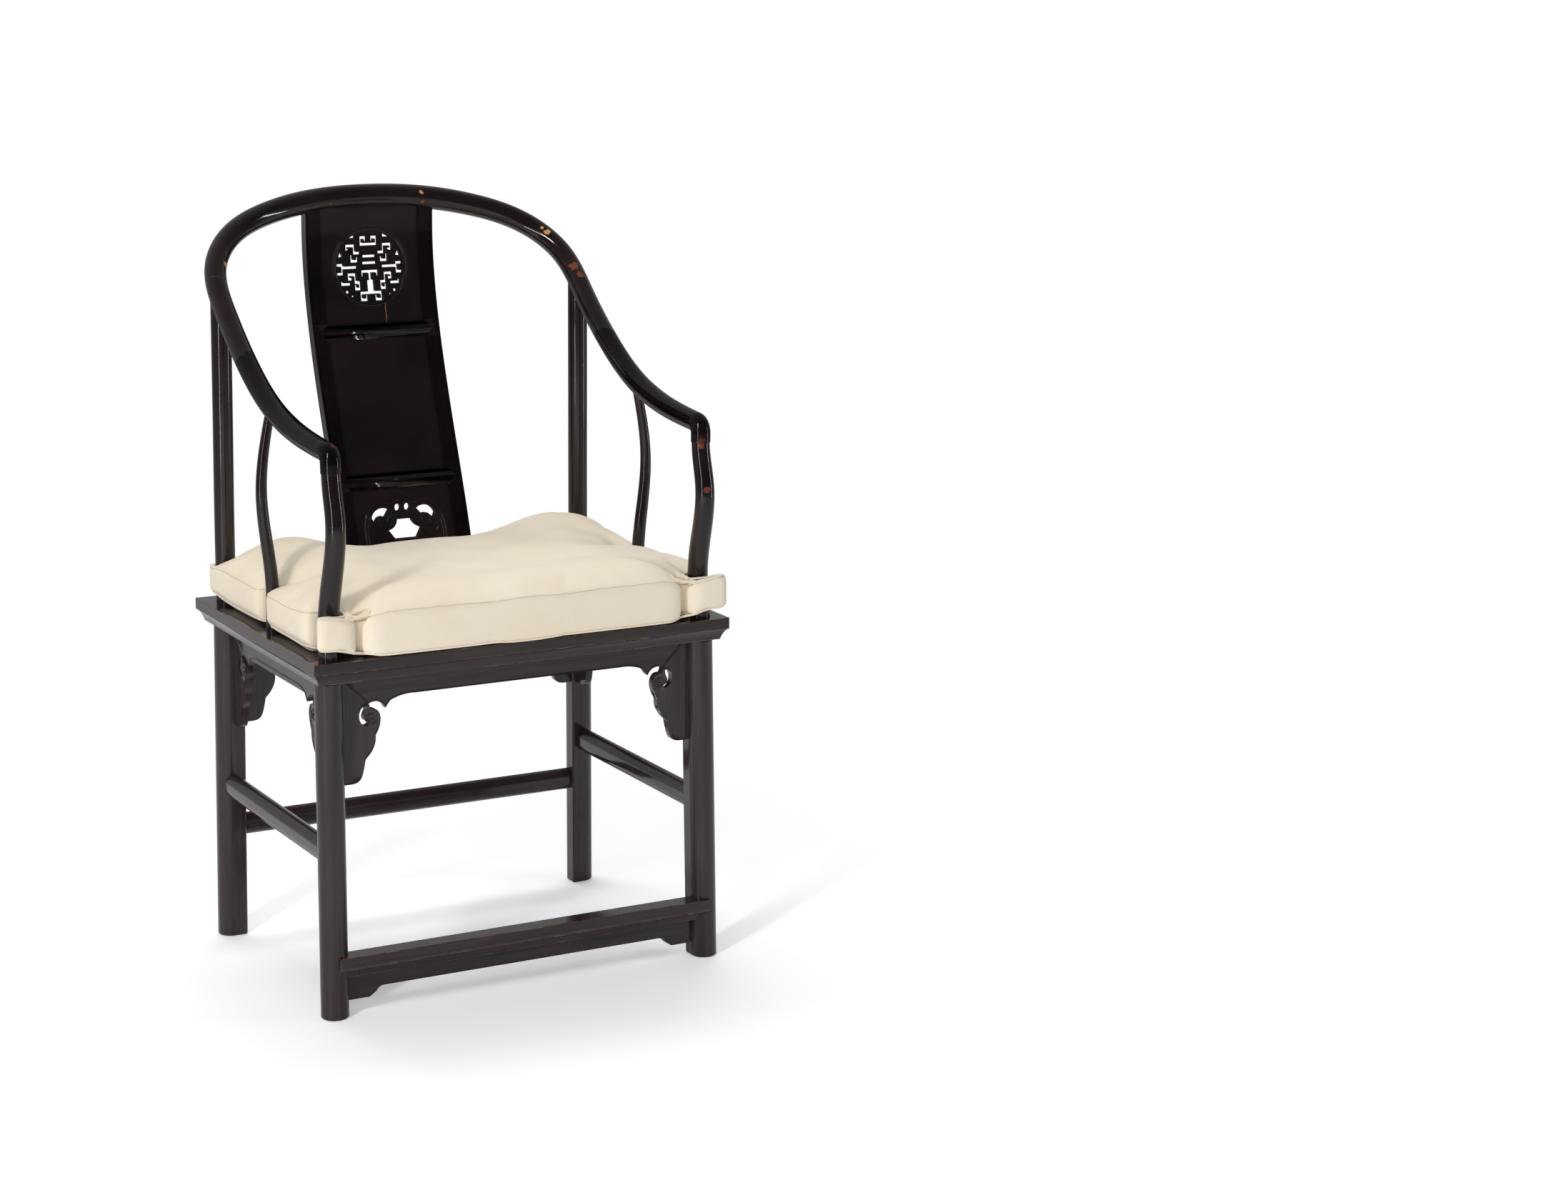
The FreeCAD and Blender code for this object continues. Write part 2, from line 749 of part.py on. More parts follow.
def slice_of(sheet, x0, x1, low, high):
    """The part of a bent sheet between two sides and two heights above the seat."""
    far = crest_depth
    return sheet.common(box(x0, x1, 0, far, seat_height + low, seat_height + high))


def bar_cut(x0, x1, z0, z1):
    """A straight cut through the splat, in places measured from the roundel's middle."""
    middle = seat_height + roundel_height
    return box(x0, x1, 0, crest_depth, middle + z0, middle + z1)


def stroke(points, width):
    """A cut of even width along a path of upright and level runs, as one shape."""
    half = width / 2
    cuts = []
    for (x0, z0), (x1, z1) in zip(points, points[1:]):
        cuts.append(bar_cut(min(x0, x1) - half, max(x0, x1) + half,
                            min(z0, z1) - half, max(z0, z1) + half))
    return joined(cuts) if len(cuts) > 1 else cuts[0]


# The fret, as shares of the roundel's radius: each path is cut on both sides
fret_paired_shares = [
    [(0.094, 0.722), (0.094, 0.784), (0.222, 0.784), (0.222, 0.598), (0.0, 0.598)],
    [(0.569, 0.443), (0.639, 0.443), (0.639, 0.573), (0.424, 0.573), (0.424, 0.369),
     (0.286, 0.369)],
    [(0.510, 0.286), (0.510, 0.153), (0.349, 0.153), (0.349, 0.224)],
    [(0.392, -0.012), (0.790, -0.012)],
    [(0.918, 0.065), (0.790, 0.065), (0.790, -0.173), (0.918, -0.173)],
    [(0.0, -0.133), (0.216, -0.133), (0.216, -0.225)],
    [(0.545, -0.322), (0.618, -0.322), (0.618, -0.202), (0.431, -0.202), (0.431, -0.420),
     (0.314, -0.420), (0.314, -0.596), (0.431, -0.596), (0.431, -0.520)],
    [(0.0, -0.706), (0.290, -0.706), (0.290, -0.892), (0.137, -0.892), (0.137, -0.804)],
    [(0.604, -0.455), (0.824, -0.455), (0.824, -0.400)],
    [(0.670, -0.663), (0.706, -0.663)],
]
fret_middle_shares = [
    [(-0.157, 0.276), (0.157, 0.276)],
    [(-0.173, 0.094), (0.173, 0.094)],
]
fret_neck_share = 0.045      # half widths of the middle stem, above and below its step
fret_stem_share = 0.102
fret_step_share = -0.373
fret_corner_shares = [
    [(0.404, 0.880), (0.569, 0.784), (0.404, 0.784)],
    [(0.843, 0.441), (0.765, 0.292), (0.902, 0.260)],
    [(0.516, -0.745), (0.584, -0.765), (0.500, -0.843)],
]


def fret_cuts():
    """Every opening of the fret roundel, as one group of cuts."""
    r = roundel_radius
    cuts = []
    for path in fret_paired_shares:
        right = stroke([(x * r, z * r) for x, z in path], fret_slot)
        cuts += [right, mirrored(right)]
    for path in fret_middle_shares:
        cuts.append(stroke([(x * r, z * r) for x, z in path], fret_slot))
    neck_half, stem = fret_neck_share * r, fret_stem_share * r
    top, foot = fret_paired_shares[5][0][1] * r, fret_paired_shares[7][0][1] * r
    cuts.append(bar_cut(-neck_half, neck_half, fret_step_share * r, top))
    cuts.append(bar_cut(-stem, stem, foot, fret_step_share * r))
    middle = seat_height + roundel_height
    for corners in fret_corner_shares:
        points = [V(x * r, 0, middle + z * r) for x, z in corners]
        wedge = Part.Face(Part.makePolygon(points + [points[0]])).extrude(V(0, crest_depth, 0))
        cuts += [wedge, mirrored(wedge)]
    return joined(cuts)


def cloud_cuts():
    """The openings of the pierced cloud, in shares of its half width and its rise."""
    def place(x, z):
        return V(x * cloud_half_width, 0, seat_height + cloud_height + z * cloud_rise)

    def through(start, steps):
        return outline(start, steps, place).extrude(V(0, crest_depth, 0))

    comma = through((0.44, 0.92), [((0.82, 0.95), (1.0, 0.72)), ((0.92, 0.54),),
                                   ((0.82, 0.70), (0.58, 0.72)), ((0.44, 0.92),)])
    eye = through((0.06, 0.98), [((0.15, 1.09), (0.24, 0.98)), ((0.15, 0.87), (0.06, 0.98))])
    bell = through((-0.34, 0.0), [((-0.51, 0.29),), ((-0.30, 0.42), (-0.22, 0.61)),
                                  ((0.22, 0.61),), ((0.30, 0.42), (0.51, 0.29)),
                                  ((0.34, 0.0),), ((-0.34, 0.0),)])
    return [comma, mirrored(comma), eye, mirrored(eye), bell]


def splat(centre_rail):
    """The pieces of the splat by name, and the groove that it needs in the crest rail."""
    thick = bent_sheet(splat_thickness)
    thin = bent_sheet(splat_panel_thickness)
    slot = bent_sheet(splat_panel_thickness + 2 * joint_clearance)
    tenon = bent_sheet(cross_tenon_thickness)
    mortise = bent_sheet(cross_tenon_thickness + 2 * joint_clearance)
    inner = splat_half_width - stile_width
    top = splat_height + crest_radius_back
    tongue_top = crest_height - seat_height - crest_radius_back + splat_tongue_rise
    side = inner + panel_tongue
    upper_low = upper_rail_top - upper_rail_width
    lower_low = lower_rail_top - lower_rail_width
    gap = joint_clearance

    rails = {
        "splat_rail_upper": (upper_low, upper_rail_top),
        "splat_rail_lower": (lower_low, lower_rail_top),
        "splat_rail_bottom": (0, bottom_rail_width),
    }
    panels = {
        "splat_panel_top": (upper_rail_top - panel_tongue, tongue_top),
        "splat_panel_middle": (lower_rail_top - panel_tongue, upper_low + panel_tongue),
        "splat_panel_bottom": (bottom_rail_width - panel_tongue, lower_low + panel_tongue),
    }
    grooves = [slice_of(slot, -side - gap, side + gap, low - gap, high + gap)
               for low, high in panels.values()]
    sockets = []
    pieces = {}
    for name, (low, high) in rails.items():
        body = slice_of(thick, -inner, inner, low, high)
        inset = (high - low) / 5
        reach = inner + cross_tenon_length
        body = body.fuse(slice_of(tenon, -reach, reach, low + inset, high - inset))
        for groove in grooves:
            body = body.cut(groove)
        pieces[name] = body
        sockets.append(slice_of(mortise, -reach - gap, reach + gap,
                                low + inset - gap, high - inset + gap))
    foot = slice_of(thin, inner, splat_half_width, -splat_tongue_depth, 0)
    head = slice_of(thin, inner, splat_half_width, upper_rail_top, tongue_top)
    stile = slice_of(thick, inner, splat_half_width, 0, top).cut(centre_rail)
    stile = joined([stile, foot, head])
    for cut in grooves + sockets:
        stile = stile.cut(cut)
    pieces["splat_stile_right"] = stile
    pieces["splat_stile_left"] = mirrored(stile)
    for name, (low, high) in panels.items():
        pieces[name] = slice_of(thin, -side, side, low, high)
    pieces["splat_panel_top"] = pieces["splat_panel_top"].cut(fret_cuts())
    for cut in cloud_cuts():
        pieces["splat_panel_bottom"] = pieces["splat_panel_bottom"].cut(cut)
    crest_groove = slice_of(slot, -splat_half_width - gap, splat_half_width + gap,
                            upper_rail_top, tongue_top + gap)
    seat_groove = slice_of(slot, inner - gap, splat_half_width + gap,
                           -splat_tongue_depth - gap, gap)
    return pieces, crest_groove, [seat_groove, mirrored(seat_groove)]


# Apron and spandrel outlines: shares of the spandrel's reach from the leg and of its
# drop below the seat frame
mitre_end_share = 0.612
cusp_shares = (1.0, 0.314)
arch_share = (0.85, 0.247)


def apron_faces(half_span, place):
    """Faces of the level board and of the right spandrel; half_span is centre to leg."""
    reach = spandrel_reach
    drop = spandrel_drop

    def at(x_share, z_share):
        return place(half_span - x_share * reach, frame_bottom - z_share * drop)

    def left(x_share, z_share):
        return place(x_share * reach - half_span, frame_bottom - z_share * drop)

    straight = apron_drop / drop
    mitre = mitre_end_share * reach / drop

    def half_edge(spot):
        """Edges from the middle of the lower edge to the end of the mitre."""
        flat_end = spot(1.70, straight)
        swell = spot(1.34, straight + 0.012)
        near_cusp = spot(1.12, straight + 0.045)
        cusp = spot(*cusp_shares)
        arch = spot(*arch_share)
        end = spot(mitre_end_share, mitre)
        corner = spot(0, 0)
        return flat_end, swell, near_cusp, cusp, arch, end, corner

    right = half_edge(at)
    other = half_edge(left)
    edges = []
    edges.append(Part.LineSegment(other[0], right[0]).toShape())
    for side in (right, other):
        edges.append(Part.Arc(side[0], side[1], side[2]).toShape())
        edges.append(Part.LineSegment(side[2], side[3]).toShape())
        edges.append(Part.Arc(side[3], side[4], side[5]).toShape())
        edges.append(Part.LineSegment(side[5], side[6]).toShape())
    edges.append(Part.LineSegment(right[6], other[6]).toShape())
    board = Part.Face(Part.Wire(Part.__sortEdges__(edges)))

    def share_place(x_share, z_share):
        return at(x_share, z_share)

    tongue = -apron_tongue / reach
    lobe = outline((mitre_end_share, mitre), [
        ((0.655, 0.308),), ((0.880, 0.352), (0.848, 0.519)), ((0.733, 0.566),),
        ((0.672, 0.672), (0.538, 0.748)), ((0.430, 0.900),), ((0.360, 0.985),),
        ((0.200, 1.0),), ((tongue, 1.0),), ((tongue, 0.0),), ((0, 0),),
        ((mitre_end_share, mitre),)], share_place)
    comma = outline((0.472, 0.278), [
        ((0.400, 0.395), (0.530, 0.475)), ((0.625, 0.428),), ((0.487, 0.395),),
        ((0.472, 0.278),)], share_place)
    return board, lobe.cut(comma)


def apron_boards(half_span, place, inwards):
    """Solids of the level board and of the two spandrels of one side of the seat."""
    board, spandrel = apron_faces(half_span, place)

    def flipped(s, z):
        return place(-s, z)

    _, other = apron_faces(half_span, flipped)
    return [face.extrude(inwards * apron_thickness) for face in (board, spandrel, other)]


def stretcher_bar(start, end, tall, wide, side):
    """A bar of flattened oval section from leg centre to leg centre."""
    h, w = tall / 2, wide / 2

    def place(across, up):
        return start + side * across + UP * up

    round_x, round_z = stretcher_round_shares[0] * w, stretcher_round_shares[1] * h
    flat = stretcher_flat_share * h
    steps = [((round_x, round_z), (w, flat)), ((w, -flat),),
             ((round_x, -round_z), (0, -h)), ((-round_x, -round_z), (-w, -flat)),
             ((-w, flat),), ((-round_x, round_z), (0, h))]
    return outline((0, h), steps, place).extrude(end - start)


def stretcher(start, end, tall, wide, side, legs):
    """A stretcher cut to the legs, with its tenons, and the mortises for them."""
    bar = stretcher_bar(start, end, tall, wide, side)
    for post in legs:
        bar = bar.cut(post)
    along = end - start
    along.normalize()
    reach = leg_radius - stretcher_tenon_length

    def tongue(grow):
        a = start + along * (reach - grow)
        b = end - along * (reach - grow)
        t = stretcher_tenon_thickness / 2 + grow
        h = stretcher_tenon_height / 2 + grow
        corners = [a + side * -t - UP * h, a + side * t - UP * h,
                   a + side * t + UP * h, a - side * t + UP * h]
        return Part.Face(Part.makePolygon(corners + [corners[0]])).extrude(b - a)

    return joined([bar, tongue(0)]), tongue(joint_clearance)


def footrest_rail(legs):
    """The moulded footrest; its ends are cut out to lap over the fronts of the legs."""
    foot = leg_centre(front_leg_y, -1, footrest_top)
    front = foot.y - leg_radius - footrest_proud
    rail = moulded_rail(2 * foot.x, footrest_depth, footrest_top, footrest_thickness,
                        footrest_band, footrest_undercut)
    rail.translate(V(0, front, 0))
    for post in legs:
        rail = rail.cut(post)
    return largest(rail)


def footrest_board():
    """The shaped board below the footrest, standing in grooves in the legs."""
    top = footrest_top - footrest_thickness
    foot = leg_centre(front_leg_y, -1, top / 2)
    half_span = foot.x - leg_radius
    deep = top - footrest_apron_end_drop
    shallow = top - footrest_apron_drop
    turn = half_span - footrest_cusp_from_leg
    start = turn - footrest_cusp_length
    reach = half_span + apron_tongue
    y = foot.y

    def place(x, z):
        return V(x, y, z)

    middle = (turn + start) / 2
    quarter = (shallow + deep) / 2
    swell = quarter + (shallow - quarter) * footrest_swell_share
    steps = [((start, shallow),), (((middle + start) / 2, swell), (middle, quarter)),
             ((turn, deep),), ((reach, deep),), ((reach, top),), ((-reach, top),),
             ((-reach, deep),), ((-turn, deep),), ((-middle, quarter),),
             ((-(middle + start) / 2, swell), (-start, shallow))]
    board = outline((-start, shallow), steps, place)
    return board.extrude(V(0, footrest_apron_thickness, 0))


# The cushion's side view: the band, as shares of the seam height and of the belly, and
# the crown, as shares of its rise and of the way in to the middle
cushion_band_shares = [(0, 1), (0.22, 0.15), (0.70, 0.1), (1, 1)]
cushion_crown_shares = [(0.46, 0.16), (0.82, 0.45), (1, 0.88)]


def cushion_ring(height, inset, draw):
    """Plan of the cushion at one height: round corners, and sides that draw in."""
    x = half_width - cushion_side_inset - inset
    front = -half_depth - cushion_overhang + inset
    back = half_depth - cushion_back_inset - inset
    r = cushion_corner_radius
    k = r * (1 - 1 / math.sqrt(2))
    middle = (front + back) / 2

    def at(px, py):
        return V(px, py, height)

    def side(start, through, end):
        return Part.Arc(start, through, end) if draw else Part.LineSegment(start, end)

    edges = [
        side(at(r - x, front), at(0, front + draw), at(x - r, front)),
        Part.Arc(at(x - r, front), at(x - k, front + k), at(x, front + r)),
        side(at(x, front + r), at(x - draw, middle), at(x, back - r)),
        Part.Arc(at(x, back - r), at(x - k, back - k), at(x - r, back)),
        side(at(x - r, back), at(0, back - draw), at(r - x, back)),
        Part.Arc(at(r - x, back), at(k - x, back - k), at(-x, back - r)),
        side(at(-x, back - r), at(draw - x, middle), at(-x, front + r)),
        Part.Arc(at(-x, front + r), at(k - x, front + k), at(r - x, front)),
    ]
    return Part.Wire([edge.toShape() for edge in edges])


def cushion_notch(x, y, radius, way):
    """A post hole and the slit that opens it to an edge; way points to that edge."""
    low = seat_height
    high = seat_height + cushion_seam_height + 2 * cushion_crown
    r = radius + cushion_post_gap
    k = r * math.tan(math.pi / 8)
    slit = cushion_slit / 2
    along = V(way)
    along.normalize()
    across = V(-along.y, along.x, 0)
    half = [(-r, k), (-k, r), (k, r), (r, k), (r, slit), (way.Length, slit)]
    plan = half + [(a, -b) for a, b in reversed(half)]
    corners = [V(x, y, low) + along * a + across * b for a, b in plan]
    return Part.Face(Part.makePolygon(corners + [corners[0]])).extrude(UP * (high - low))


def seat_cushion():
    """The box cushion, crowned, with a notch for each post and one for the splat."""
    base = seat_height + cushion_rest_gap
    seam = cushion_seam_height
    crown = cushion_crown
    belly = cushion_belly
    rings = []
    for rise_share, belly_share in cushion_band_shares:
        rings.append(cushion_ring(base + rise_share * seam, belly_share * belly,
                                  cushion_side_draw))
    slope = half_depth - cushion_corner_radius * 2
    for rise_share, slope_share in cushion_crown_shares:
        rings.append(cushion_ring(base + seam + rise_share * crown,
                                  belly + slope_share * slope, 0))
    body = planed(Part.makeLoft(rings, True, True))
    edge = half_depth + cushion_overhang + front_post_y
    notches = [
        (leg_x, front_post_y, post_radius, V(-cushion_slit_inboard, -edge, 0)),
        (side_post_x, -side_post_set_back, side_post_foot_diameter / 2, V(edge, 0, 0)),
        (leg_x, back_leg_y, post_radius, V(0, edge, 0)),
    ]
    for x, y, radius, way in notches:
        notch = cushion_notch(x, y, radius, way)
        body = body.cut(notch).cut(mirrored(notch))
    front_of_splat = splat_foot_back - splat_thickness / 2 - cushion_splat_gap
    x = splat_half_width + cushion_splat_gap
    body = body.cut(box(-x, x, front_of_splat, half_depth, seat_height - overrun,
                        seat_height + seam + 2 * crown))
    return largest(body)


def build():
    """Make every piece and return them by node name."""
    parts = {}

    centre, right_arm, key = crest_rail()

    front_right = front_leg()
    back_right = back_leg([right_arm, centre])
    post_right, post_hole = side_post()

    pieces, crest_groove, seat_grooves = splat(centre)
    centre = centre.cut(crest_groove)

    holes = [
        tenon_hole(V(arm_end.x, arm_end.y, pipe_joint_height), post_tenon_length + joint_clearance,
                   0, post_tenon_diameter),
        tenon_hole(crest_point(back_leg_y - back_post_lean), joint_clearance,
                   2 * post_tenon_length, post_tenon_diameter),
        post_hole,
    ]
    for hole in holes:
        right_arm = right_arm.cut(hole)
        centre = centre.cut(hole).cut(mirrored(hole))
    left_arm = mirrored(right_arm)

    # Seat frame
    front_blank = moulded_rail(seat_width, frame_rail_width, seat_height, frame_thickness,
                               frame_band, frame_undercut)
    front_blank.translate(V(0, -half_depth, 0))
    front_rail = front_blank.common(frame_plan(False))
    side_blank = moulded_rail(seat_depth, frame_rail_width, seat_height, frame_thickness,
                              frame_band, frame_undercut)
    side_blank.rotate(V(0, 0, 0), UP, 90)
    side_blank.translate(V(half_width, 0, 0))
    side_rail = side_blank.common(frame_plan(True))

    tenons = frame_tenons(0)
    front_rail = joined([front_rail, tenons[0], tenons[1]])
    back_rail = turned_to_back(front_rail)
    mortise = frame_tenons(joint_clearance)[0]
    back_mortise = mortise.mirror(V(0, 0, 0), V(0, 1, 0))
    side_rail = side_rail.cut(mortise).cut(back_mortise)

    groove = board_outline(seat_board_tongue + joint_clearance,
                           seat_height - seat_board_thickness - joint_clearance,
                           seat_height - seat_board_thickness / 2 + joint_clearance)
    front_rail = front_rail.cut(groove)
    back_rail = back_rail.cut(groove)
    side_rail = side_rail.cut(groove)

    bores = []
    for y in (front_post_y, back_leg_y):
        bore = rod(V(leg_x, y, frame_bottom), V(leg_x, y, seat_height), post_radius + joint_clearance)
        bores += [bore, mirrored(bore)]
    for bore in bores:
        front_rail = front_rail.cut(bore)
        back_rail = back_rail.cut(bore)
        side_rail = side_rail.cut(bore)
    side_socket = tenon_hole(V(side_post_x, -side_post_set_back, seat_height), 0,
                             seat_tenon_length + joint_clearance, side_tenon_diameter)
    side_rail = side_rail.cut(side_socket)

    pins = frame_pins()
    for pin in pins:
        front_rail = front_rail.cut(pin)
        back_rail = back_rail.cut(pin)
        side_rail = side_rail.cut(pin)

    battens = []
    for x in (-batten_gap / 2, batten_gap / 2):
        bar, tenon = batten(x, 0)
        battens.append(joined([bar, tenon]))
        socket = batten(x, joint_clearance)[1]
        front_rail = front_rail.cut(socket)
        back_rail = back_rail.cut(socket)
    for seat_groove in seat_grooves:
        back_rail = back_rail.cut(seat_groove)

    # Aprons and spandrels, whose tongues stand in grooves in the legs
    front_plane = front_leg_y + apron_set_back
    back_plane = back_leg_y - apron_set_back
    side_plane = leg_x - apron_set_back
    side_middle = (front_leg_y + back_leg_y) / 2
    half_span_x = leg_x - leg_radius
    half_span_y = (back_leg_y - front_leg_y) / 2 - leg_radius
    sides = {
        "front": (half_span_x, lambda s, z: V(s, front_plane, z), V(0, 1, 0)),
        "back": (half_span_x, lambda s, z: V(s, back_plane, z), V(0, -1, 0)),
        "right": (half_span_y, lambda s, z: V(side_plane, side_middle + s, z), V(-1, 0, 0)),
        "left": (half_span_y, lambda s, z: V(-side_plane, side_middle + s, z), V(1, 0, 0)),
    }
    ends = {
        "front": ("right", "left"), "back": ("right", "left"),
        "right": ("back", "front"), "left": ("back", "front"),
    }
    grooves = []
    for side, (half_span, place, inwards) in sides.items():
        board, near, far = apron_boards(half_span, place, inwards)
        parts["apron_" + side] = board
        parts["spandrel_" + side + "_" + ends[side][0]] = near
        parts["spandrel_" + side + "_" + ends[side][1]] = far
        for s in (-half_span, half_span):
            tip = s + math.copysign(apron_tongue + joint_clearance, s)
            a = place(s - math.copysign(overrun, s), frame_bottom) - inwards * joint_clearance
            b = place(tip, frame_bottom - spandrel_drop - joint_clearance)
            b = b + inwards * (apron_thickness + joint_clearance)
            grooves.append(box(a.x, b.x, a.y, b.y, a.z, b.z))

    # Footrest, its board and the stretchers
    front_left = mirrored(front_right)
    front_legs = [front_right, front_left]
    footrest = footrest_rail(front_legs)
    parts["footrest_apron"] = footrest_board()
    apron_box = parts["footrest_apron"].BoundBox
    grooves.append(box(apron_box.XMin - joint_clearance, apron_box.XMax + joint_clearance,
                       apron_box.YMin - joint_clearance, apron_box.YMax + joint_clearance,
                       apron_box.ZMin - joint_clearance, apron_box.ZMax))

    front_low = leg_centre(front_leg_y, -1, frame_bottom - side_stretcher_drop)
    back_low = leg_centre(back_leg_y, 1, frame_bottom - side_stretcher_drop)
    side_bar, side_mortise = stretcher(front_low, back_low, side_stretcher_tall,
                                       side_stretcher_wide, V(1, 0, 0), [front_right, back_right])
    back_foot = leg_centre(back_leg_y, 1, frame_bottom - back_stretcher_drop)
    back_bar, back_mortise_low = stretcher(V(-back_foot.x, back_foot.y, back_foot.z), back_foot,
                                           back_stretcher_tall, back_stretcher_wide, V(0, 1, 0),
                                           [back_right, mirrored(back_right)])
    rest_foot = leg_centre(front_leg_y, -1, footrest_top - footrest_thickness / 2)
    tenon_reach = rest_foot.x - leg_radius + stretcher_tenon_length

    def footrest_tenon(grow):
        half = stretcher_tenon_thickness / 2 + grow
        y = rest_foot.y
        z = rest_foot.z
        return box(-tenon_reach - grow, tenon_reach + grow, y - leg_radius / 2 - half,
                   y - leg_radius / 2 + half, z - half, z + half)

    footrest = joined([footrest, footrest_tenon(0)])
    cuts = grooves + [side_mortise, back_mortise_low, footrest_tenon(joint_clearance)]
    for cut in cuts:
        front_right = front_right.cut(cut)
        back_right = back_right.cut(cut)

    parts["crest_rail_centre"] = centre
    parts["crest_rail_right"] = right_arm
    parts["crest_rail_left"] = left_arm
    parts["crest_rail_key_right"] = key
    parts["crest_rail_key_left"] = mirrored(key)
    parts["front_leg_right"] = front_right
    parts["front_leg_left"] = mirrored(front_right)
    parts["back_leg_right"] = back_right
    parts["back_leg_left"] = mirrored(back_right)
    parts["side_post_right"] = post_right
    parts["side_post_left"] = mirrored(post_right)
    parts["seat_front_rail"] = front_rail
    parts["seat_back_rail"] = back_rail
    parts["seat_right_rail"] = side_rail
    parts["seat_left_rail"] = mirrored(side_rail)
    parts["seat_board"] = seat_board(0)
    parts["seat_batten_left"] = battens[0]
    parts["seat_batten_right"] = battens[1]
    parts["seat_frame_pins"] = Part.makeCompound(pins)
    parts["side_stretcher_right"] = side_bar
    parts["side_stretcher_left"] = mirrored(side_bar)
    parts["back_stretcher"] = back_bar
    parts["footrest"] = footrest
    parts.update(pieces)
    parts["seat_cushion"] = seat_cushion()
    return parts


front_reach = front_post_y - front_bulge_out + front_waist_back - post_radius
back_reach = crest_back + crest_radius_back
middle_y = (front_reach + back_reach) / 2

os.makedirs("parts", exist_ok=True)
for name, shape in build().items():
    shape.translate(V(0, -middle_y, 0))
    shape.exportStep("parts/" + name + ".step")
    print(name, len(shape.Solids), round(shape.Volume / 1000, 2), "cm3", shape.isValid())
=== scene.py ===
import math
import bpy
import numpy as np
from mathutils import Matrix, Vector


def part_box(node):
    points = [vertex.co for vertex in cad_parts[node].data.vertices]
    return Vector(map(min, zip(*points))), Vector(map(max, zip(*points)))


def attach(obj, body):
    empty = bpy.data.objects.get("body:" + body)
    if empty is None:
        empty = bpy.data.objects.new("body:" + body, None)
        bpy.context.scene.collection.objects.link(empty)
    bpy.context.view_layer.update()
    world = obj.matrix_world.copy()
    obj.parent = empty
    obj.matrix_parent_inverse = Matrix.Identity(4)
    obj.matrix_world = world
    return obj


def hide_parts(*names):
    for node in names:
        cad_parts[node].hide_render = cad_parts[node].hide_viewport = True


# %% [markdown]
# A lacquered armchair whose back and arms are one horseshoe of round wood.
# The frame comes in as finished joinery: every rail, leg, panel and board is already in its
# place. This lesson dresses it. Round bars are made again so that they are truly smooth,
# flat boards get eased edges, carving is added where only a plain board stands, and the
# loose cushion is sewn and filled. Everything is in metres, with Z up.

# %% Load the joinery and note how large it is
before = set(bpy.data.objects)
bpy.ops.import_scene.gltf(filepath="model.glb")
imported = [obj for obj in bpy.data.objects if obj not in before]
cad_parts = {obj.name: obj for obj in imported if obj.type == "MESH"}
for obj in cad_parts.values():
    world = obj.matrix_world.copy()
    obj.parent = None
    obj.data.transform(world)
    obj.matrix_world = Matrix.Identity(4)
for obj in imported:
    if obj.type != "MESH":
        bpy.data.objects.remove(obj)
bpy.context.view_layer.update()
scene = bpy.context.scene
print("pieces of joinery:", len(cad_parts))

# %% [markdown]
# The drawing of the chair counts millimetres from the middle of the seat. The joinery's own
# origin is under the middle of the whole chair, a little further back. One small helper turns
# a place on the drawing into a place in the scene, so the numbers below can be read with a
# ruler in hand.

# %% From the drawing to the scene
MM = 0.001
seat_middle_y = -48.8            # the middle of the seat, seen from the middle of the chair


def spot(x, y, z):
    """A place on the drawing, in metres in the scene."""
    return Vector((x, y + seat_middle_y, z)) * MM


def start():
    """Leave edit mode and select nothing, so that the next operator acts on its own piece."""
    if bpy.context.object and bpy.context.object.mode != "OBJECT":
        bpy.ops.object.mode_set(mode="OBJECT")
    bpy.ops.object.select_all(action="DESELECT")


def take(piece):
    """Select one piece alone and make it the active one."""
    start()
    piece.select_set(True)
    bpy.context.view_layer.objects.active = piece
    return piece


def open_mesh(piece):
    """Take one piece and enter edit mode with all of its mesh selected."""
    take(piece)
    bpy.ops.object.mode_set(mode="EDIT")
    bpy.ops.mesh.select_all(action="SELECT")


def draw_out(piece, way):
    """Draw a flat outline out into a solid, with its faces turned outwards."""
    open_mesh(piece)
    bpy.ops.mesh.extrude_region_move(TRANSFORM_OT_translate={"value": tuple(way)})
    bpy.ops.mesh.select_all(action="SELECT")
    bpy.ops.mesh.normals_make_consistent(inside=False)
    bpy.ops.object.mode_set(mode="OBJECT")
    return piece


def worked(piece, name, kind, **settings):
    """Work one modifier into a piece."""
    take(piece)
    step = piece.modifiers.new(name, kind)
    for setting, value in settings.items():
        setattr(step, setting, value)
    bpy.ops.object.modifier_apply(modifier=step.name)
    return piece


start()
print("front edge of the seat in the scene:", [round(c, 4) for c in spot(0, -218.5, 470)])

# %% [markdown]
# The camera stands where the photographer stood: in front of the chair, to the sitter's
# right, a little above the seat's back. A long lens keeps the legs nearly upright.

# %% Camera
camera_data = bpy.data.cameras.new("camera")
camera_data.sensor_width = 36.0
camera_data.lens = 73.285
camera = bpy.data.objects.new("camera", camera_data)
camera.location = (-1.6812, -3.8897, 1.4118)
camera.rotation_euler = (1.352, -0.0093, -0.5143)
scene.collection.objects.link(camera)
scene.camera = camera
scene.view_settings.view_transform = "Standard"
print("lens:", camera_data.lens, "mm")

# %% [markdown]
# Every material below is a few shader nodes wired together. One helper adds a node, gives its
# inputs their values, or wires them to what other nodes give, and returns its output. The
# other helpers are the few patterns and sums that come back in each material.

# %% Helpers for materials


def new_material(name):
    """An empty node material, its tree and its output."""
    material = bpy.data.materials.new(name)
    material.use_nodes = True
    tree = material.node_tree
    tree.nodes.clear()
    output = tree.nodes.new("ShaderNodeOutputMaterial")
    return material, tree, output


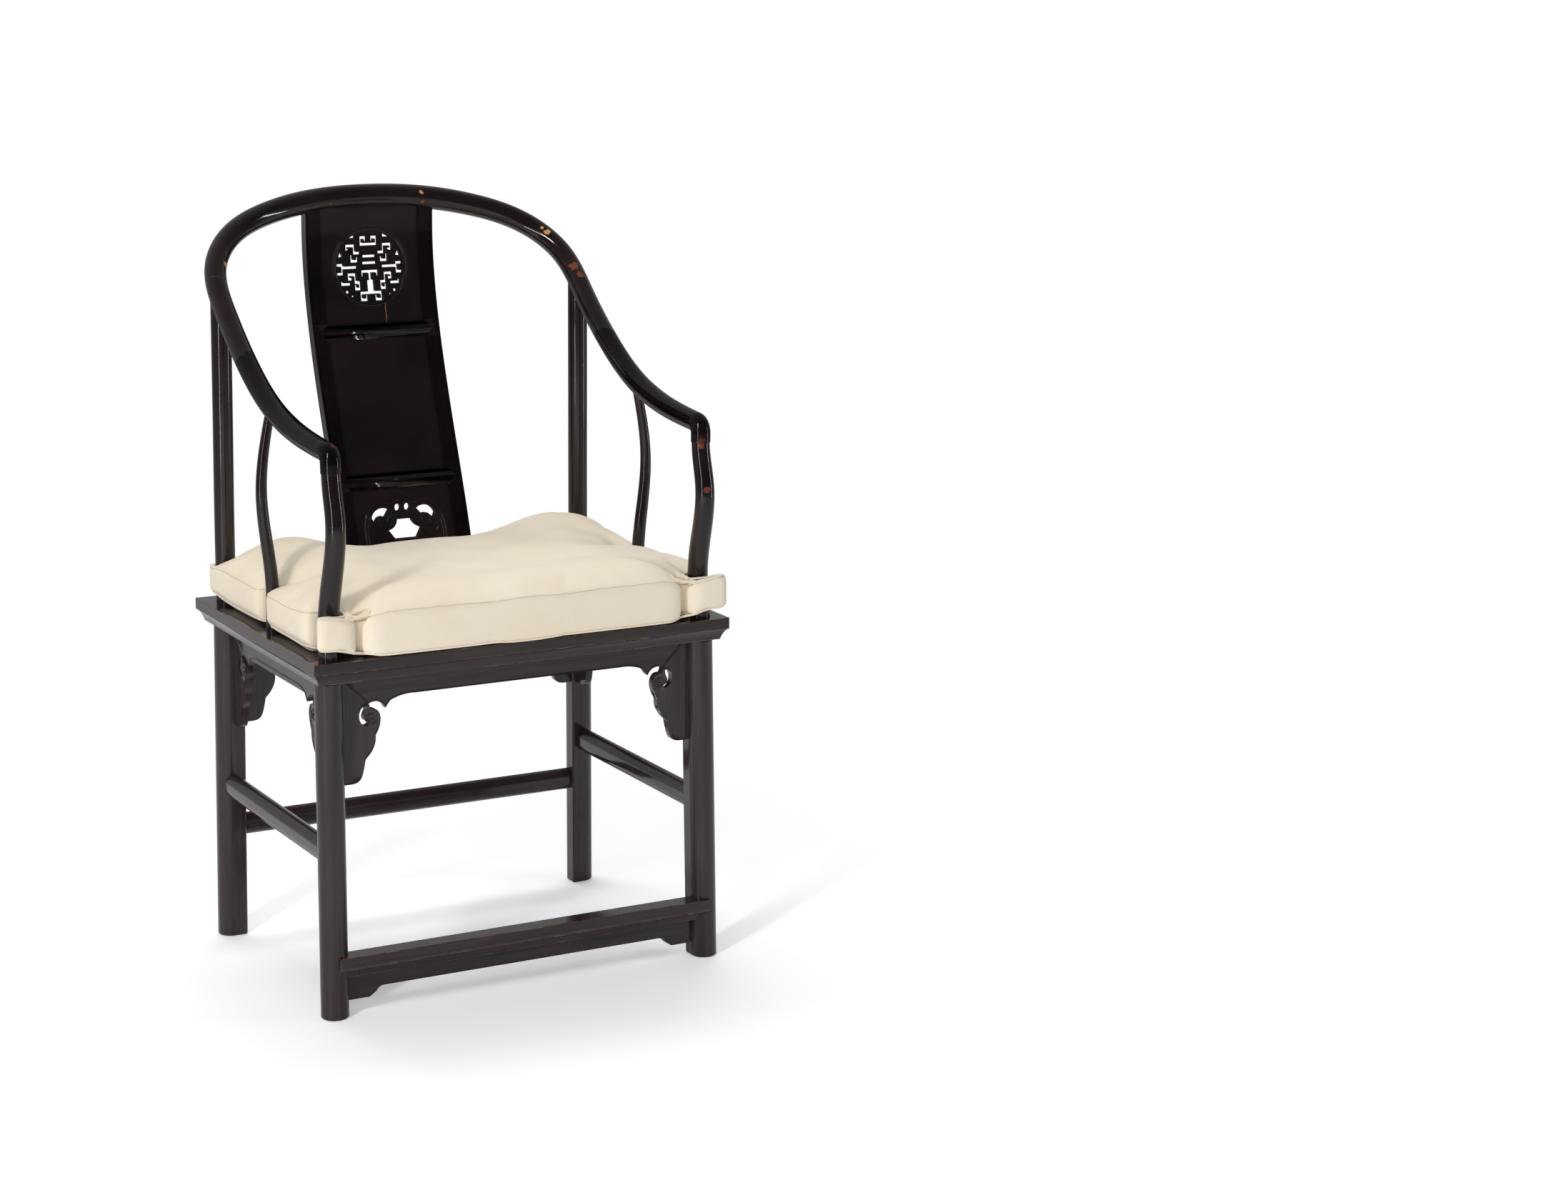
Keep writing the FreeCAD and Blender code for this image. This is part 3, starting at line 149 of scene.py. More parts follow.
def wire(tree, kind, inputs=(), output=0, **settings):
    """Add a shader node whose inputs are values, or what other nodes give."""
    node = tree.nodes.new("ShaderNode" + kind)
    for name, choice in settings.items():
        setattr(node, name, choice)
    for place, value in dict(inputs).items():
        socket = node.inputs[place]
        if isinstance(value, bpy.types.NodeSocket):
            tree.links.new(value, socket)
        else:
            socket.default_value = (*value, 1) if socket.type == "RGBA" else value
    return node.outputs[output]


def noise(tree, coordinates, scale, detail, stretch=(1, 1, 1), roughness=0.5):
    """A noise pattern, fixed to the piece and stretched along its axes."""
    places = wire(tree, "Mapping", {"Vector": coordinates, "Scale": stretch})
    return wire(tree, "TexNoise", {"Vector": places, "Scale": scale, "Detail": detail,
                                   "Roughness": roughness}, "Fac")


def between(tree, value, low, high, to_low=0.0, to_high=1.0, **settings):
    """Spread a value from one range to another, and stop at its ends."""
    return wire(tree, "MapRange", {"Value": value, "From Min": low, "From Max": high,
                                   "To Min": to_low, "To Max": to_high}, **settings)


def times(tree, a, b):
    """One value times another."""
    return wire(tree, "Math", {0: a, 1: b}, operation="MULTIPLY")


def larger(tree, a, b):
    """The larger of two values."""
    return wire(tree, "Math", {0: a, 1: b}, operation="MAXIMUM")


def tint(tree, share, first, second):
    """A colour that goes from the first to the second as the share rises."""
    return wire(tree, "Mix", {"Factor": share, 6: first, 7: second}, 2, data_type="RGBA")


def relief(tree, height, strength, depth, under=None):
    """Relief that only the shading shows, laid over an earlier one."""
    inputs = {"Height": height, "Strength": strength, "Distance": depth}
    if under is not None:
        inputs["Normal"] = under
    return wire(tree, "Bump", inputs)


print("helpers ready")

# %% [markdown]
# A catalogue picture stands on white paper that runs up behind the piece. Here the paper is
# a wide pale floor, and the world behind it is white to the camera. A soft shadow stays
# under the chair; a stride away the paper fades to pure white, so no horizon shows. Lacquer
# is a mirror in a dark colour, so what it reflects matters more than the light on it: to the
# lacquer the world is grey behind the chair and dim on the photographer's side, which gives
# dark faces with pale rims.

# %% Floor and world
WHITE = (1, 1, 1)
bpy.ops.mesh.primitive_plane_add(size=16.0, location=(0, 0, 0))
floor = bpy.context.object
floor.name = "floor"

paper, tree, output = new_material("paper")
to_camera = wire(tree, "LightPath", output="Is Camera Ray")
matt = wire(tree, "BsdfDiffuse", {"Color": (0.90, 0.90, 0.90)})
glow = wire(tree, "Emission", {"Color": WHITE, "Strength": times(tree, to_camera, 0.30)})
both = wire(tree, "AddShader", {0: matt, 1: glow})
reach = wire(tree, "VectorMath", {0: wire(tree, "TexCoord", output="Object")}, "Value",
             operation="LENGTH")
far_away = between(tree, reach, 0.35, 1.05, interpolation_type="SMOOTHSTEP")
fading = wire(tree, "MixShader", {"Fac": times(tree, far_away, to_camera), 1: both,
                                  2: wire(tree, "Emission", {"Color": WHITE})})
tree.links.new(fading, output.inputs["Surface"])
floor.data.materials.append(paper)

world = bpy.data.worlds.new("studio")
scene.world = world
world.use_nodes = True
tree = world.node_tree
tree.nodes.clear()
output = tree.nodes.new("ShaderNodeOutputWorld")
backwards = wire(tree, "SeparateXYZ", {0: wire(tree, "TexCoord", output="Generated")}, "Y")
tone = tint(tree, between(tree, backwards, -0.4, 0.5), (0.09, 0.09, 0.10), (0.42, 0.42, 0.42))
room = wire(tree, "Background", {"Color": tone})
white = wire(tree, "Background", {"Color": WHITE})
choice = wire(tree, "MixShader", {"Fac": wire(tree, "LightPath", output="Is Camera Ray"),
                                  1: room, 2: white})
tree.links.new(choice, output.inputs["Surface"])
print("floor and world ready")

# %% [markdown]
# A photographer lights dark glossy bars with strips. Two tall narrow lamps stand upright on
# the floor, because an upright post seen from above mirrors what is low, and draw the long
# thin highlights; one high on the left does the same for the rail. A wide soft one above and
# behind keeps the shadow on the paper as faint as it is in the catalogue, and a wide one in
# front lights the cloth. Those two stay out of the lacquer's reflections, as lamps behind a
# diffusing tent do, so that the dark stays dark.

# %% Lamps


def lamp(name, place, target, size, watts, mirrored=True):
    """A square soft lamp that looks at a target, and may be left out of reflections."""
    data = bpy.data.lights.new(name, "AREA")
    data.shape = "RECTANGLE"
    data.size, data.size_y = size
    data.energy = watts
    light = bpy.data.objects.new(name, data)
    light.location = place
    light.rotation_euler = (Vector(target) - Vector(place)).to_track_quat("-Z", "Y").to_euler()
    light.visible_glossy = mirrored
    scene.collection.objects.link(light)
    return light


lamp("key", (-2.4, -1.9, 3.0), (0, 0, 0.6), (0.22, 1.5), 50)
lamp("strip_left", (-2.5, -1.7, 1.0), (0, 0, 1.0), (0.13, 1.9), 17)
lamp("strip_right", (2.9, -1.7, 1.0), (0, 0, 1.0), (0.12, 1.9), 16)
lamp("top", (0.3, 1.2, 3.4), (0, 0, 0.5), (2.4, 1.2), 60, False)
lamp("front", (-1.9, -3.4, 1.3), (0, 0, 0.5), (1.8, 1.2), 31, False)

# %% [markdown]
# Old lacquer is many thin coats over dark wood. It is nearly black, with a breath of red
# where light gets into it, a hard clear surface, and a faint ripple from the grain below.
# Hands and sleeves keep everything above the seat glossy; below it the surface is duller,
# and its colour is painted lighter and greyer there: painted reflection of the pale floor that
# the lower parts face. On edges the coats have worn through to a red-brown ground. One material
# with a second, more worn version of itself for the eased edges is enough; which version a
# face gets is decided where the edge is cut.

# %% Lacquer
LACQUER_DARK = (0.0070, 0.0042, 0.0048)
LACQUER_WARM = (0.0150, 0.0080, 0.0084)
# Below the seat the lacquer's colour is lifted, lighter and greyer: painted reflection of the pale
# floor.
BELOW_SEAT_SHEEN_DARK = (0.0230, 0.0160, 0.0165)
BELOW_SEAT_SHEEN_WARM = (0.0410, 0.0290, 0.0290)
SEAT_LOW, SEAT_HIGH = 0.455, 0.490
GROUND = (0.150, 0.036, 0.012)
BARE_WOOD = (0.560, 0.270, 0.085)
RUBBED = (0.260, 0.200, 0.165)


def near_spot(tree, coordinates, place, radius, rag):
    """1 at a place on the piece, 0 beyond a radius, with a ragged rim."""
    distance = wire(tree, "VectorMath", {0: coordinates, 1: place}, "Value", operation="DISTANCE")
    ragged = wire(tree, "Math", {0: rag, 1: radius * 1.6, 2: distance}, operation="MULTIPLY_ADD")
    return between(tree, ragged, radius * 1.75, radius * 1.55)


def lacquer(name, worn=0.0, grain_way=(1, 1, 1), spots=(), tooth=0.04):
    """A lacquer; worn is how much of the surface has gone through to the ground, and tooth
    is how much of the grain can be felt through it.

    Each spot is (place, radius, colour): a patch where the coats have chipped off.
    """
    material, tree, output = new_material(name)
    coordinates = wire(tree, "TexCoord", output="Object")
    height = wire(tree, "SeparateXYZ", {0: coordinates}, "Z")
    above_seat = between(tree, height, SEAT_LOW, SEAT_HIGH)
    clouds = between(tree, noise(tree, coordinates, 9.0, 3.0), 0.35, 0.70)
    streaks = between(tree, noise(tree, coordinates, 130.0, 4.0, grain_way, 0.6), 0.38, 0.66)
    # Below the seat the colour is the painted floor reflection over the grain; above it, the
    # lacquer's own dark tones.
    colour = tint(tree, above_seat, tint(tree, streaks, BELOW_SEAT_SHEEN_DARK, BELOW_SEAT_SHEEN_WARM),
                  tint(tree, clouds, LACQUER_DARK, LACQUER_WARM))
    nicks = noise(tree, coordinates, 75.0, 4.0, roughness=0.65)
    patches = noise(tree, coordinates, 11.0, 2.0)
    bare = times(tree, between(tree, nicks, 0.66 - 0.22 * worn, 0.72 - 0.20 * worn),
                 between(tree, patches, 0.62 - 0.30 * worn, 0.72 - 0.25 * worn))
    colour = tint(tree, bare, colour, GROUND)
    if worn:
        rubbed = times(tree, between(tree, noise(tree, coordinates, 48.0, 3.0), 0.50, 0.62),
                       between(tree, patches, 0.42, 0.60))
        colour = tint(tree, rubbed, colour, RUBBED)
        bare = larger(tree, bare, rubbed)
    rag = noise(tree, coordinates, 260.0, 3.0)
    for place, radius, shade in spots:
        mark = near_spot(tree, coordinates, place, radius, rag)
        colour = tint(tree, mark, colour, shade)
        bare = larger(tree, bare, mark)
    ragged = noise(tree, coordinates, 34.0, 4.0)
    rough = wire(tree, "Mix", {0: above_seat, 2: between(tree, ragged, 0.3, 0.75, 0.10, 0.24),
                               3: between(tree, ragged, 0.3, 0.75, 0.06, 0.14)})
    grain = relief(tree, noise(tree, coordinates, 160.0, 3.0, grain_way), tooth, 0.0002)
    ripple = relief(tree, noise(tree, coordinates, 26.0, 2.0), 0.12, 0.0010, grain)
    surface = wire(tree, "BsdfPrincipled", {
        "Base Color": colour, "Roughness": wire(tree, "Mix", {0: bare, 2: rough, 3: 0.55}),
        "IOR": 1.38, "Coat Weight": 0.20, "Coat Roughness": 0.06, "Normal": ripple})
    tree.links.new(surface, output.inputs["Surface"])
    return material


def at(x, y, z, radius, colour):
    """A worn place on the chair, in millimetres in the scene."""
    return (x * MM, y * MM, z * MM), radius * MM, colour


worn_rail = [
    at(-241, 157, 919, 5.0, BARE_WOOD), at(-236, 156, 917, 3.0, BARE_WOOD),
    at(237, 171, 942, 5.0, BARE_WOOD), at(232, 178, 946, 3.5, BARE_WOOD),
    at(256, 125, 898, 8.0, GROUND), at(259, 112, 888, 6.0, GROUND),
    at(77, 241, 997, 3.2, BARE_WOOD), at(78, 240, 984, 3.0, GROUND),
    at(120, 226, 974, 2.2, GROUND), at(196, 190, 952, 3.0, BARE_WOOD),
    at(-252, -250, 743, 6.0, GROUND), at(-246, -262, 709, 6.5, GROUND),
    at(-249, -263, 708, 3.5, BARE_WOOD), at(252, -263, 709, 6.5, GROUND),
    at(247, -262, 708, 3.5, BARE_WOOD), at(250, -262, 735, 3.0, GROUND),
]
worn_posts = [
    at(-247, -262, 702, 6.0, GROUND), at(-250, -263, 703, 3.5, BARE_WOOD),
    at(252, -262, 703, 6.0, GROUND), at(248, -262, 704, 3.5, BARE_WOOD),
    at(255, -274, 646, 5.0, GROUND), at(-251, -270, 560, 4.0, GROUND),
]
lacquer_plain = lacquer("lacquer", 0.0, spots=worn_rail)
lacquer_post = lacquer("lacquer_post", 0.0, (1, 1, 0.05), worn_posts)
lacquer_edge = lacquer("lacquer_worn_edge", 1.0)
lacquer_along_x = lacquer("lacquer_grain_along_x", 0.0, (0.05, 1, 1), tooth=0.16)
lacquer_along_y = lacquer("lacquer_grain_along_y", 0.0, (1, 0.05, 1), tooth=0.16)
lacquer_upright = lacquer("lacquer_grain_upright", 0.0, (1, 1, 0.05), tooth=0.08)
# The walls of the openings: the dark lacquer made dull and barely reflecting, which is painted shade.
lacquer_painted_shade_in_holes, tree, output = new_material("lacquer_in_the_openings")
tree.links.new(wire(tree, "BsdfPrincipled", {"Base Color": LACQUER_DARK, "Roughness": 0.7,
                                             "Specular IOR Level": 0.2}), output.inputs["Surface"])
bare_lacquer, tree, output = new_material("lacquer_gone")
streaks = noise(tree, wire(tree, "TexCoord", output="Object"), 300.0, 2.0)
tree.links.new(wire(tree, "BsdfPrincipled", {"Base Color": tint(tree, streaks, GROUND, BARE_WOOD),
                                             "Roughness": 0.6}), output.inputs["Surface"])
print("lacquers:", [m.name for m in bpy.data.materials if m.name.startswith("lacquer")])

# %% [markdown]
# The board and battens under the cushion were never lacquered. They are plain brown wood,
# dull, with the grain running along the board.

# %% Bare inner wood


def bare_wood(name, grain_way):
    """Dull unfinished wood with its grain stretched along one axis."""
    material, tree, output = new_material(name)
    grain = noise(tree, wire(tree, "TexCoord", output="Object"), 120.0, 5.0, grain_way, 0.6)
    colour = tint(tree, between(tree, grain, 0.3, 0.7), (0.085, 0.042, 0.020), (0.19, 0.105, 0.055))
    surface = wire(tree, "BsdfPrincipled", {"Base Color": colour, "Roughness": 0.72,
                                            "Normal": relief(tree, grain, 0.3, 0.0005)})
    tree.links.new(surface, output.inputs["Surface"])
    return material


inner_wood = bare_wood("inner_wood", (0.04, 1, 1))
inner_wood_crosswise = bare_wood("inner_wood_crosswise", (1, 0.04, 1))
print("inner woods ready")

# %% [markdown]
# Every square edge on old furniture is a little round, from the maker's scraper and from
# two hundred years of cloths. A copy of each flat piece gets its doubles merged, its flat
# faces made whole, and a narrow bevel on each sharp edge. The bevel's faces take the worn
# lacquer, so wear sits on the edges and nowhere else. Last, each corner's shading normal is
# taken from the large faces there, so that a flat face reflects as a flat face, right up to
# the narrow bevel. The boards under the seat also carry a bead, a thin raised roll along
# their scrolled edges: their face is inset by the bead's width and the middle is sunk. The
# bars between the legs have their shoulders coped, cut hollow, to sit on the round legs.

# %% Ease the edges of a piece of joinery


def merged_copy(node, name):
    """A copy of a piece of joinery, as one clean mesh."""
    piece = bpy.data.objects.new(name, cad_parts[node].data.copy())
    scene.collection.objects.link(piece)
    open_mesh(piece)
    bpy.ops.mesh.remove_doubles(threshold=0.00002)
    bpy.ops.mesh.dissolve_limited(angle_limit=math.radians(0.3))
    bpy.ops.object.mode_set(mode="OBJECT")
    return piece


def ease_edges(piece, width, steps=2, angle=32.0):
    """A narrow round on every edge that is sharper than the angle."""
    sharp = math.radians(angle)
    worked(piece, "eased", "BEVEL", width=width, segments=steps, limit_method="ANGLE",
           angle_limit=sharp, material=1, miter_outer="MITER_ARC")
    bpy.ops.object.shade_smooth_by_angle(angle=sharp)
    return piece


def paint(piece, *materials):
    """Give a piece its materials: the plain one first, then the one for its edges."""
    piece.data.materials.clear()
    for material in materials:
        piece.data.materials.append(material)
    return piece


def joined_to(piece, additions):
    """Make one object of a piece and the carving on it."""
    take(piece)
    for addition in additions:
        addition.select_set(True)
    if additions:
        bpy.ops.object.join()
    return piece


def hand_over(piece, *nodes, slot="lacquered_wood", body="chair_frame"):
    """Give lacquered wood shading normals from its large faces, hang the piece on what carries it,
    and hide the joinery it stands for.
    """
    if slot == "lacquered_wood":
        worked(piece, "true flats", "WEIGHTED_NORMAL", keep_sharp=True, weight=80)
    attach(piece, body)
    if nodes:
        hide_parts(*nodes)
    start()
    return piece


EASE = 0.0007
BEAD, BEAD_RISE = 3.0 * MM, 1.2 * MM
facings = {"front": Vector((0, -1, 0)), "back": Vector((0, 1, 0)),
           "left": Vector((-1, 0, 0)), "right": Vector((1, 0, 0))}


def carve_bead(piece, side):
    """Sink a board's face, all but a bead along the edges that no other piece covers.

    The mitre between a board and its spandrel, and the edge under the seat, get no bead.
    """
    facing, reach = facings[side], 1.3 * BEAD
    low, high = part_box("footrest_apron" if piece.name.startswith("footrest") else "apron_" + side)
    k = 0 if facing.x == 0 else 1
    middle, half_span, top = (low[k] + high[k]) / 2, (high[k] - low[k]) / 2, high[2]
    outer = max(vertex.co.dot(facing) for vertex in piece.data.vertices)
    take(piece)
    for polygon in piece.data.polygons:
        polygon.select = (polygon.normal.dot(facing) > 0.99
                          and abs(polygon.center.dot(facing) - outer) < 0.0001)
    bpy.ops.object.mode_set(mode="EDIT")
    bpy.ops.mesh.select_mode(type="FACE")
    bpy.ops.mesh.inset(thickness=BEAD, depth=0, use_even_offset=True)
    bpy.ops.transform.translate(value=tuple(-BEAD_RISE * facing))
    bpy.ops.object.mode_set(mode="OBJECT")
    for vertex in piece.data.vertices:
        if not vertex.select:
            continue
        along, height = vertex.co[k] - middle, vertex.co.z
        past_mitre = (abs(along) - height - half_span + top) / math.sqrt(2)
        if top - height < reach:
            vertex.co.z = top
        elif abs(past_mitre) < reach and not piece.name.startswith("footrest"):
            step = past_mitre / math.sqrt(2)
            vertex.co[k] -= math.copysign(step, along)
            vertex.co.z += step
    return piece


LEG_RADIUS = 18.0 * MM
leg_lines = {-1: (spot(266.5, -197.0, 0), spot(262.5, -188.5, 440)),
             1: (spot(266.5, 187.5, 0), spot(262.5, 179.0, 440))}


def fit_to_legs(piece):
    """Cope the shoulders of a bar to the round side of the legs that it stands against."""
    near, far = 12 * MM, 19 * MM # from a leg's middle to the corner of the footrest's notch
    for vertex in piece.data.vertices:
        fore = -1 if vertex.co.y < 0 else 1
        foot, top = leg_lines[fore]
        middle = foot.lerp(top, vertex.co.z / top.z)
        out_x = abs(vertex.co.x) - middle.x
        out_y = (vertex.co.y - middle.y) * fore
        if piece.name.startswith("footrest"):
            reach = math.hypot(out_x, out_y)
            if -far < out_x < -near and near < out_y < far:
                out_x, out_y = out_x * LEG_RADIUS / reach, out_y * LEG_RADIUS / reach
        elif piece.name.startswith("side") and abs(out_y + LEG_RADIUS) < MM and out_x > 0:
            out_y = -math.sqrt(LEG_RADIUS ** 2 - out_x ** 2)
        elif piece.name.startswith("back") and abs(out_x + LEG_RADIUS) < MM and out_y > 0:
            out_x = -math.sqrt(LEG_RADIUS ** 2 - out_y ** 2)
        vertex.co.x = math.copysign(middle.x + out_x, vertex.co.x)
        vertex.co.y = middle.y + out_y * fore
    return piece


grain_of = {
    "apron_front": lacquer_along_x, "apron_back": lacquer_along_x,
    "apron_left": lacquer_along_y, "apron_right": lacquer_along_y,
    "seat_front_rail": lacquer_along_x, "seat_back_rail": lacquer_along_x,
    "seat_left_rail": lacquer_along_y, "seat_right_rail": lacquer_along_y,
    "side_stretcher_left": lacquer_along_y, "side_stretcher_right": lacquer_along_y,
    "back_stretcher": lacquer_along_x, "footrest": lacquer_along_x,
    "footrest_apron": lacquer_along_x,
}
made_anew = [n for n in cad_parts
             if n.startswith(("crest_rail", "front_leg", "back_leg", "side_post", "splat",
                              "spandrel", "seat_cushion"))]
for node in sorted(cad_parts):
    if node in made_anew:
        continue
    piece = merged_copy(node, node + "_eased")
    wood = grain_of.get(node, lacquer_upright)
    slot = "lacquered_wood"
    if node.startswith(("seat_board", "seat_batten", "seat_frame_pins")):
        wood = inner_wood if node == "seat_board" else inner_wood_crosswise
        slot = "inner_wood"
    paint(piece, wood, lacquer_edge if slot == "lacquered_wood" else wood)
    if "stretcher" in node or node == "footrest":
        fit_to_legs(piece)
    if node == "footrest_apron":
        carve_bead(piece, "front")
    elif node.startswith("apron"):
        carve_bead(piece, node.split("_")[1])
    ease_edges(piece, 0.0004 if slot == "inner_wood" else EASE)
    hand_over(piece, node, slot=slot)
print("eased pieces:", len(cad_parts) - len(made_anew))

# %% [markdown]
# The round bars are where the joinery's mesh is too coarse for a glossy finish. A bar can be
# turned on a lathe, or steamed, or sawn from a thick plank and rounded by hand, as here. In
# the scene the shortest way is a curve with a round bevel: the curve is the bar's middle
# line, and each point carries its own radius. It is then made a mesh.

# %% Round bars


def smooth_line(knots, count, first_way=None, last_way=None):
    """Evenly spaced places on a smooth line through the knots."""
    knots = np.array(knots, float)
    gaps = np.linalg.norm(np.diff(knots, axis=0), axis=1)
    along = np.concatenate(([0.0], np.cumsum(gaps)))
    n = len(knots)
    matrix = np.zeros((n, n))
    right = np.zeros((n, 3))
    slopes = np.diff(knots, axis=0) / gaps[:, None]
    for i in range(1, n - 1):
        matrix[i, i - 1:i + 2] = gaps[i - 1], 2 * (gaps[i - 1] + gaps[i]), gaps[i]
        right[i] = 6 * (slopes[i] - slopes[i - 1])
    matrix[0, 0] = matrix[-1, -1] = 1
    if first_way is not None:
        matrix[0, :2] = 2 * gaps[0], gaps[0]
        right[0] = 6 * (slopes[0] - np.array(first_way))
    if last_way is not None:
        matrix[-1, -2:] = gaps[-1], 2 * gaps[-1]
        right[-1] = 6 * (np.array(last_way) - slopes[-1])
    bends = np.linalg.solve(matrix, right)
    fine = np.linspace(0, along[-1], 40 * n)
    part = np.clip(np.searchsorted(along, fine, side="right") - 1, 0, n - 2)
    u, h = fine - along[part], gaps[part]
    v = h - u
    line = (bends[part] * (v ** 3)[:, None] + bends[part + 1] * (u ** 3)[:, None]) / (6 * h)[:, None]
    line += (knots[part] / h[:, None] - bends[part] * (h / 6)[:, None]) * v[:, None]
    line += (knots[part + 1] / h[:, None] - bends[part + 1] * (h / 6)[:, None]) * u[:, None]
    steps = np.concatenate(([0.0], np.cumsum(np.linalg.norm(np.diff(line, axis=0), axis=1))))
    even = np.linspace(0, steps[-1], count)
    return [Vector([np.interp(e, steps, line[:, k]) for k in range(3)]) for e in even]


def swept(name, line, sizes, thick, steps, closed=False):
    """A round mesh along a line of places, each with a size of its own."""
    start()
    bpy.ops.curve.primitive_nurbs_path_add()
    curve = bpy.context.object.data
    curve.splines.clear()
    middle = curve.splines.new("POLY")
    middle.points.add(len(line) - 1)
    for point, place, size in zip(middle.points, line, sizes):
        point.co = (*place, 1.0)
        point.radius = size
    middle.use_cyclic_u = closed
    curve.bevel_depth = thick
    curve.bevel_resolution = steps
    curve.use_fill_caps = True
    bpy.ops.object.convert(target="MESH")
    bar = bpy.context.object
    bar.name = name
    bar.location = (0, 0, 0)
    return bar


def round_bar(name, line, radii, sides=40):
    """A bar of round section along a line of places, with one radius for each."""
    bar = swept(name, line, radii, 1.0, sides // 2 - 2)
    for face in bar.data.polygons:
        face.use_smooth = len(face.vertices) == 4
    return bar


half_rail = [(0, 307.4, 993.7), (74.9, 304.1, 990.1), (146.4, 287.1, 978.2),
             (212.2, 256.1, 954.4), (253.2, 211.0, 914.0), (261.0, 154.7, 863.0),
             (261.0, 95.4, 817.3), (260.5, -2.8, 762.8), (259.7, -75.0, 742.7),
             (257.9, -200.5, 730.0)]
BACK_RADIUS, ARM_RADIUS, END_RADIUS = 16.0 * MM, 14.2 * MM, 12.8 * MM
rail_knots = [spot(-x, y, z) for x, y, z in reversed(half_rail[1:])]
rail_knots += [spot(x, y, z) for x, y, z in half_rail]
HALF_COUNT = 180                 # places on each side of the rail's middle
rail_line = smooth_line(rail_knots, 2 * HALF_COUNT + 1)
rail_steps = [(b - a).length for a, b in zip(rail_line, rail_line[1:])]
print("length of the horseshoe:", round(sum(rail_steps), 3))

# %% [markdown]
# The arm doesn't just stop: it turns straight down in a tight round elbow and stands on the
# front post, the grain running round the corner. The bend has almost the bar's own radius,
# the tightest that a round bar can turn without its inside folding over itself.

# %% Turn both ends of the rail down
PIPE_JOINT = 706.0
ELBOW, ELBOW_STEPS = END_RADIUS + 0.2 * MM, 10


def turned_down(line):
    """A line whose last corner is a round bend, and which then drops to the pipe joint."""
    corner, down = line[-1], Vector((0, 0, -1))
    way = (line[-1] - line[-3]).normalized()
    turn = way.angle(down)
    reach = ELBOW * math.tan(turn / 2)
    inwards = (down - way * down.dot(way)).normalized()
    middle = corner - way * reach + inwards * ELBOW
    kept = [place for place in line if (place - corner).length > reach + 0.002]
    angles = [turn * n / ELBOW_STEPS for n in range(ELBOW_STEPS + 1)]
    bend = [middle + ELBOW * (way * math.sin(angle) - inwards * math.cos(angle))
            for angle in angles]
    foot = [Vector((*bend[-1].xy, bend[-1].z + (PIPE_JOINT * MM - bend[-1].z) * n / 3))
            for n in (1, 2, 3)]
    return kept + bend + foot


rail_line = turned_down(rail_line)
rail_line = turned_down(rail_line[::-1])[::-1]
rail_steps = [(b - a).length for a, b in zip(rail_line, rail_line[1:])]
rail_length, gone, rail_radii = sum(rail_steps), 0.0, []
for step in [0.0] + rail_steps:
    gone += step
    from_middle = abs(gone - rail_length / 2)
    rail_radii.append(np.interp(from_middle, (0.110, 0.349, rail_length / 2 - 0.16, rail_length / 2),
                                (BACK_RADIUS, ARM_RADIUS, ARM_RADIUS, END_RADIUS)))
print("places on the rail:", len(rail_line))

# %% [markdown]
# No plank gives a whole horseshoe, so the rail is three lengths. On each shoulder they
# overlap in a half lap: the middle length keeps its upper half there, the arm its lower
# half, and a hidden key locks them. The stepped seam of that lap is one of the marks of the
# type. The whole bar is made once, and each length is what is left when a plane and a block
# have taken the rest away.

# %% Cut the rail into its three lengths


def cut_with(piece, tool, operation="DIFFERENCE"):
    """Take one shape from another, or join them, and throw the tool away."""
    worked(piece, "cut", "BOOLEAN", operation=operation, object=tool, solver="EXACT")
    bpy.data.objects.remove(tool)
    return piece


def copy_of(piece, name):
    """A copy with its own mesh."""
    twin = bpy.data.objects.new(name, piece.data.copy())
    scene.collection.objects.link(twin)
    return twin


def slice_off(piece, place, normal):
    """Cut a piece with a plane, drop what lies on the normal's side and close the cut."""
    open_mesh(piece)
    bpy.ops.mesh.bisect(plane_co=place, plane_no=normal, clear_outer=True, use_fill=True)
    bpy.ops.object.mode_set(mode="OBJECT")
    return piece


def block(frame_matrix, low, high):
    """A block between two corners in axes of its own."""
    start()
    bpy.ops.mesh.primitive_cube_add(size=1.0)
    tool = bpy.context.object
    size = Vector(high) - Vector(low)
    middle = (Vector(high) + Vector(low)) / 2
    tool.data.transform(Matrix.Translation(middle) @ Matrix.Diagonal((*size, 1.0)))
    tool.data.transform(frame_matrix)
    return tool


LAP_SHARE = 0.385                # of the way round each half of the rail
HALF_LAP = 33.0 * MM


def lap_axes(side):
    """The place of a shoulder lap, with its axes along the rail, sideways and up."""
    n = len(rail_line) // 2 + side * round(HALF_COUNT * LAP_SHARE)
    along = (rail_line[n + side] - rail_line[n - side]).normalized()
    sideways = Vector((0, 0, 1)).cross(along).normalized()
    up = along.cross(sideways)
    axes = Matrix((along, sideways, up)).transposed().to_4x4()
    return Matrix.Translation(rail_line[n]) @ axes, along


def seam_edges(piece):
    """Tidy the cut rim of a lap and ease it, so that the seam shows as a fine line."""
    open_mesh(piece)
    bpy.ops.mesh.remove_doubles(threshold=0.0005)
    bpy.ops.mesh.normals_make_consistent(inside=False)
    bpy.ops.object.mode_set(mode="OBJECT")
    ease_edges(piece, 0.00045, 1, 40.0)
    return piece


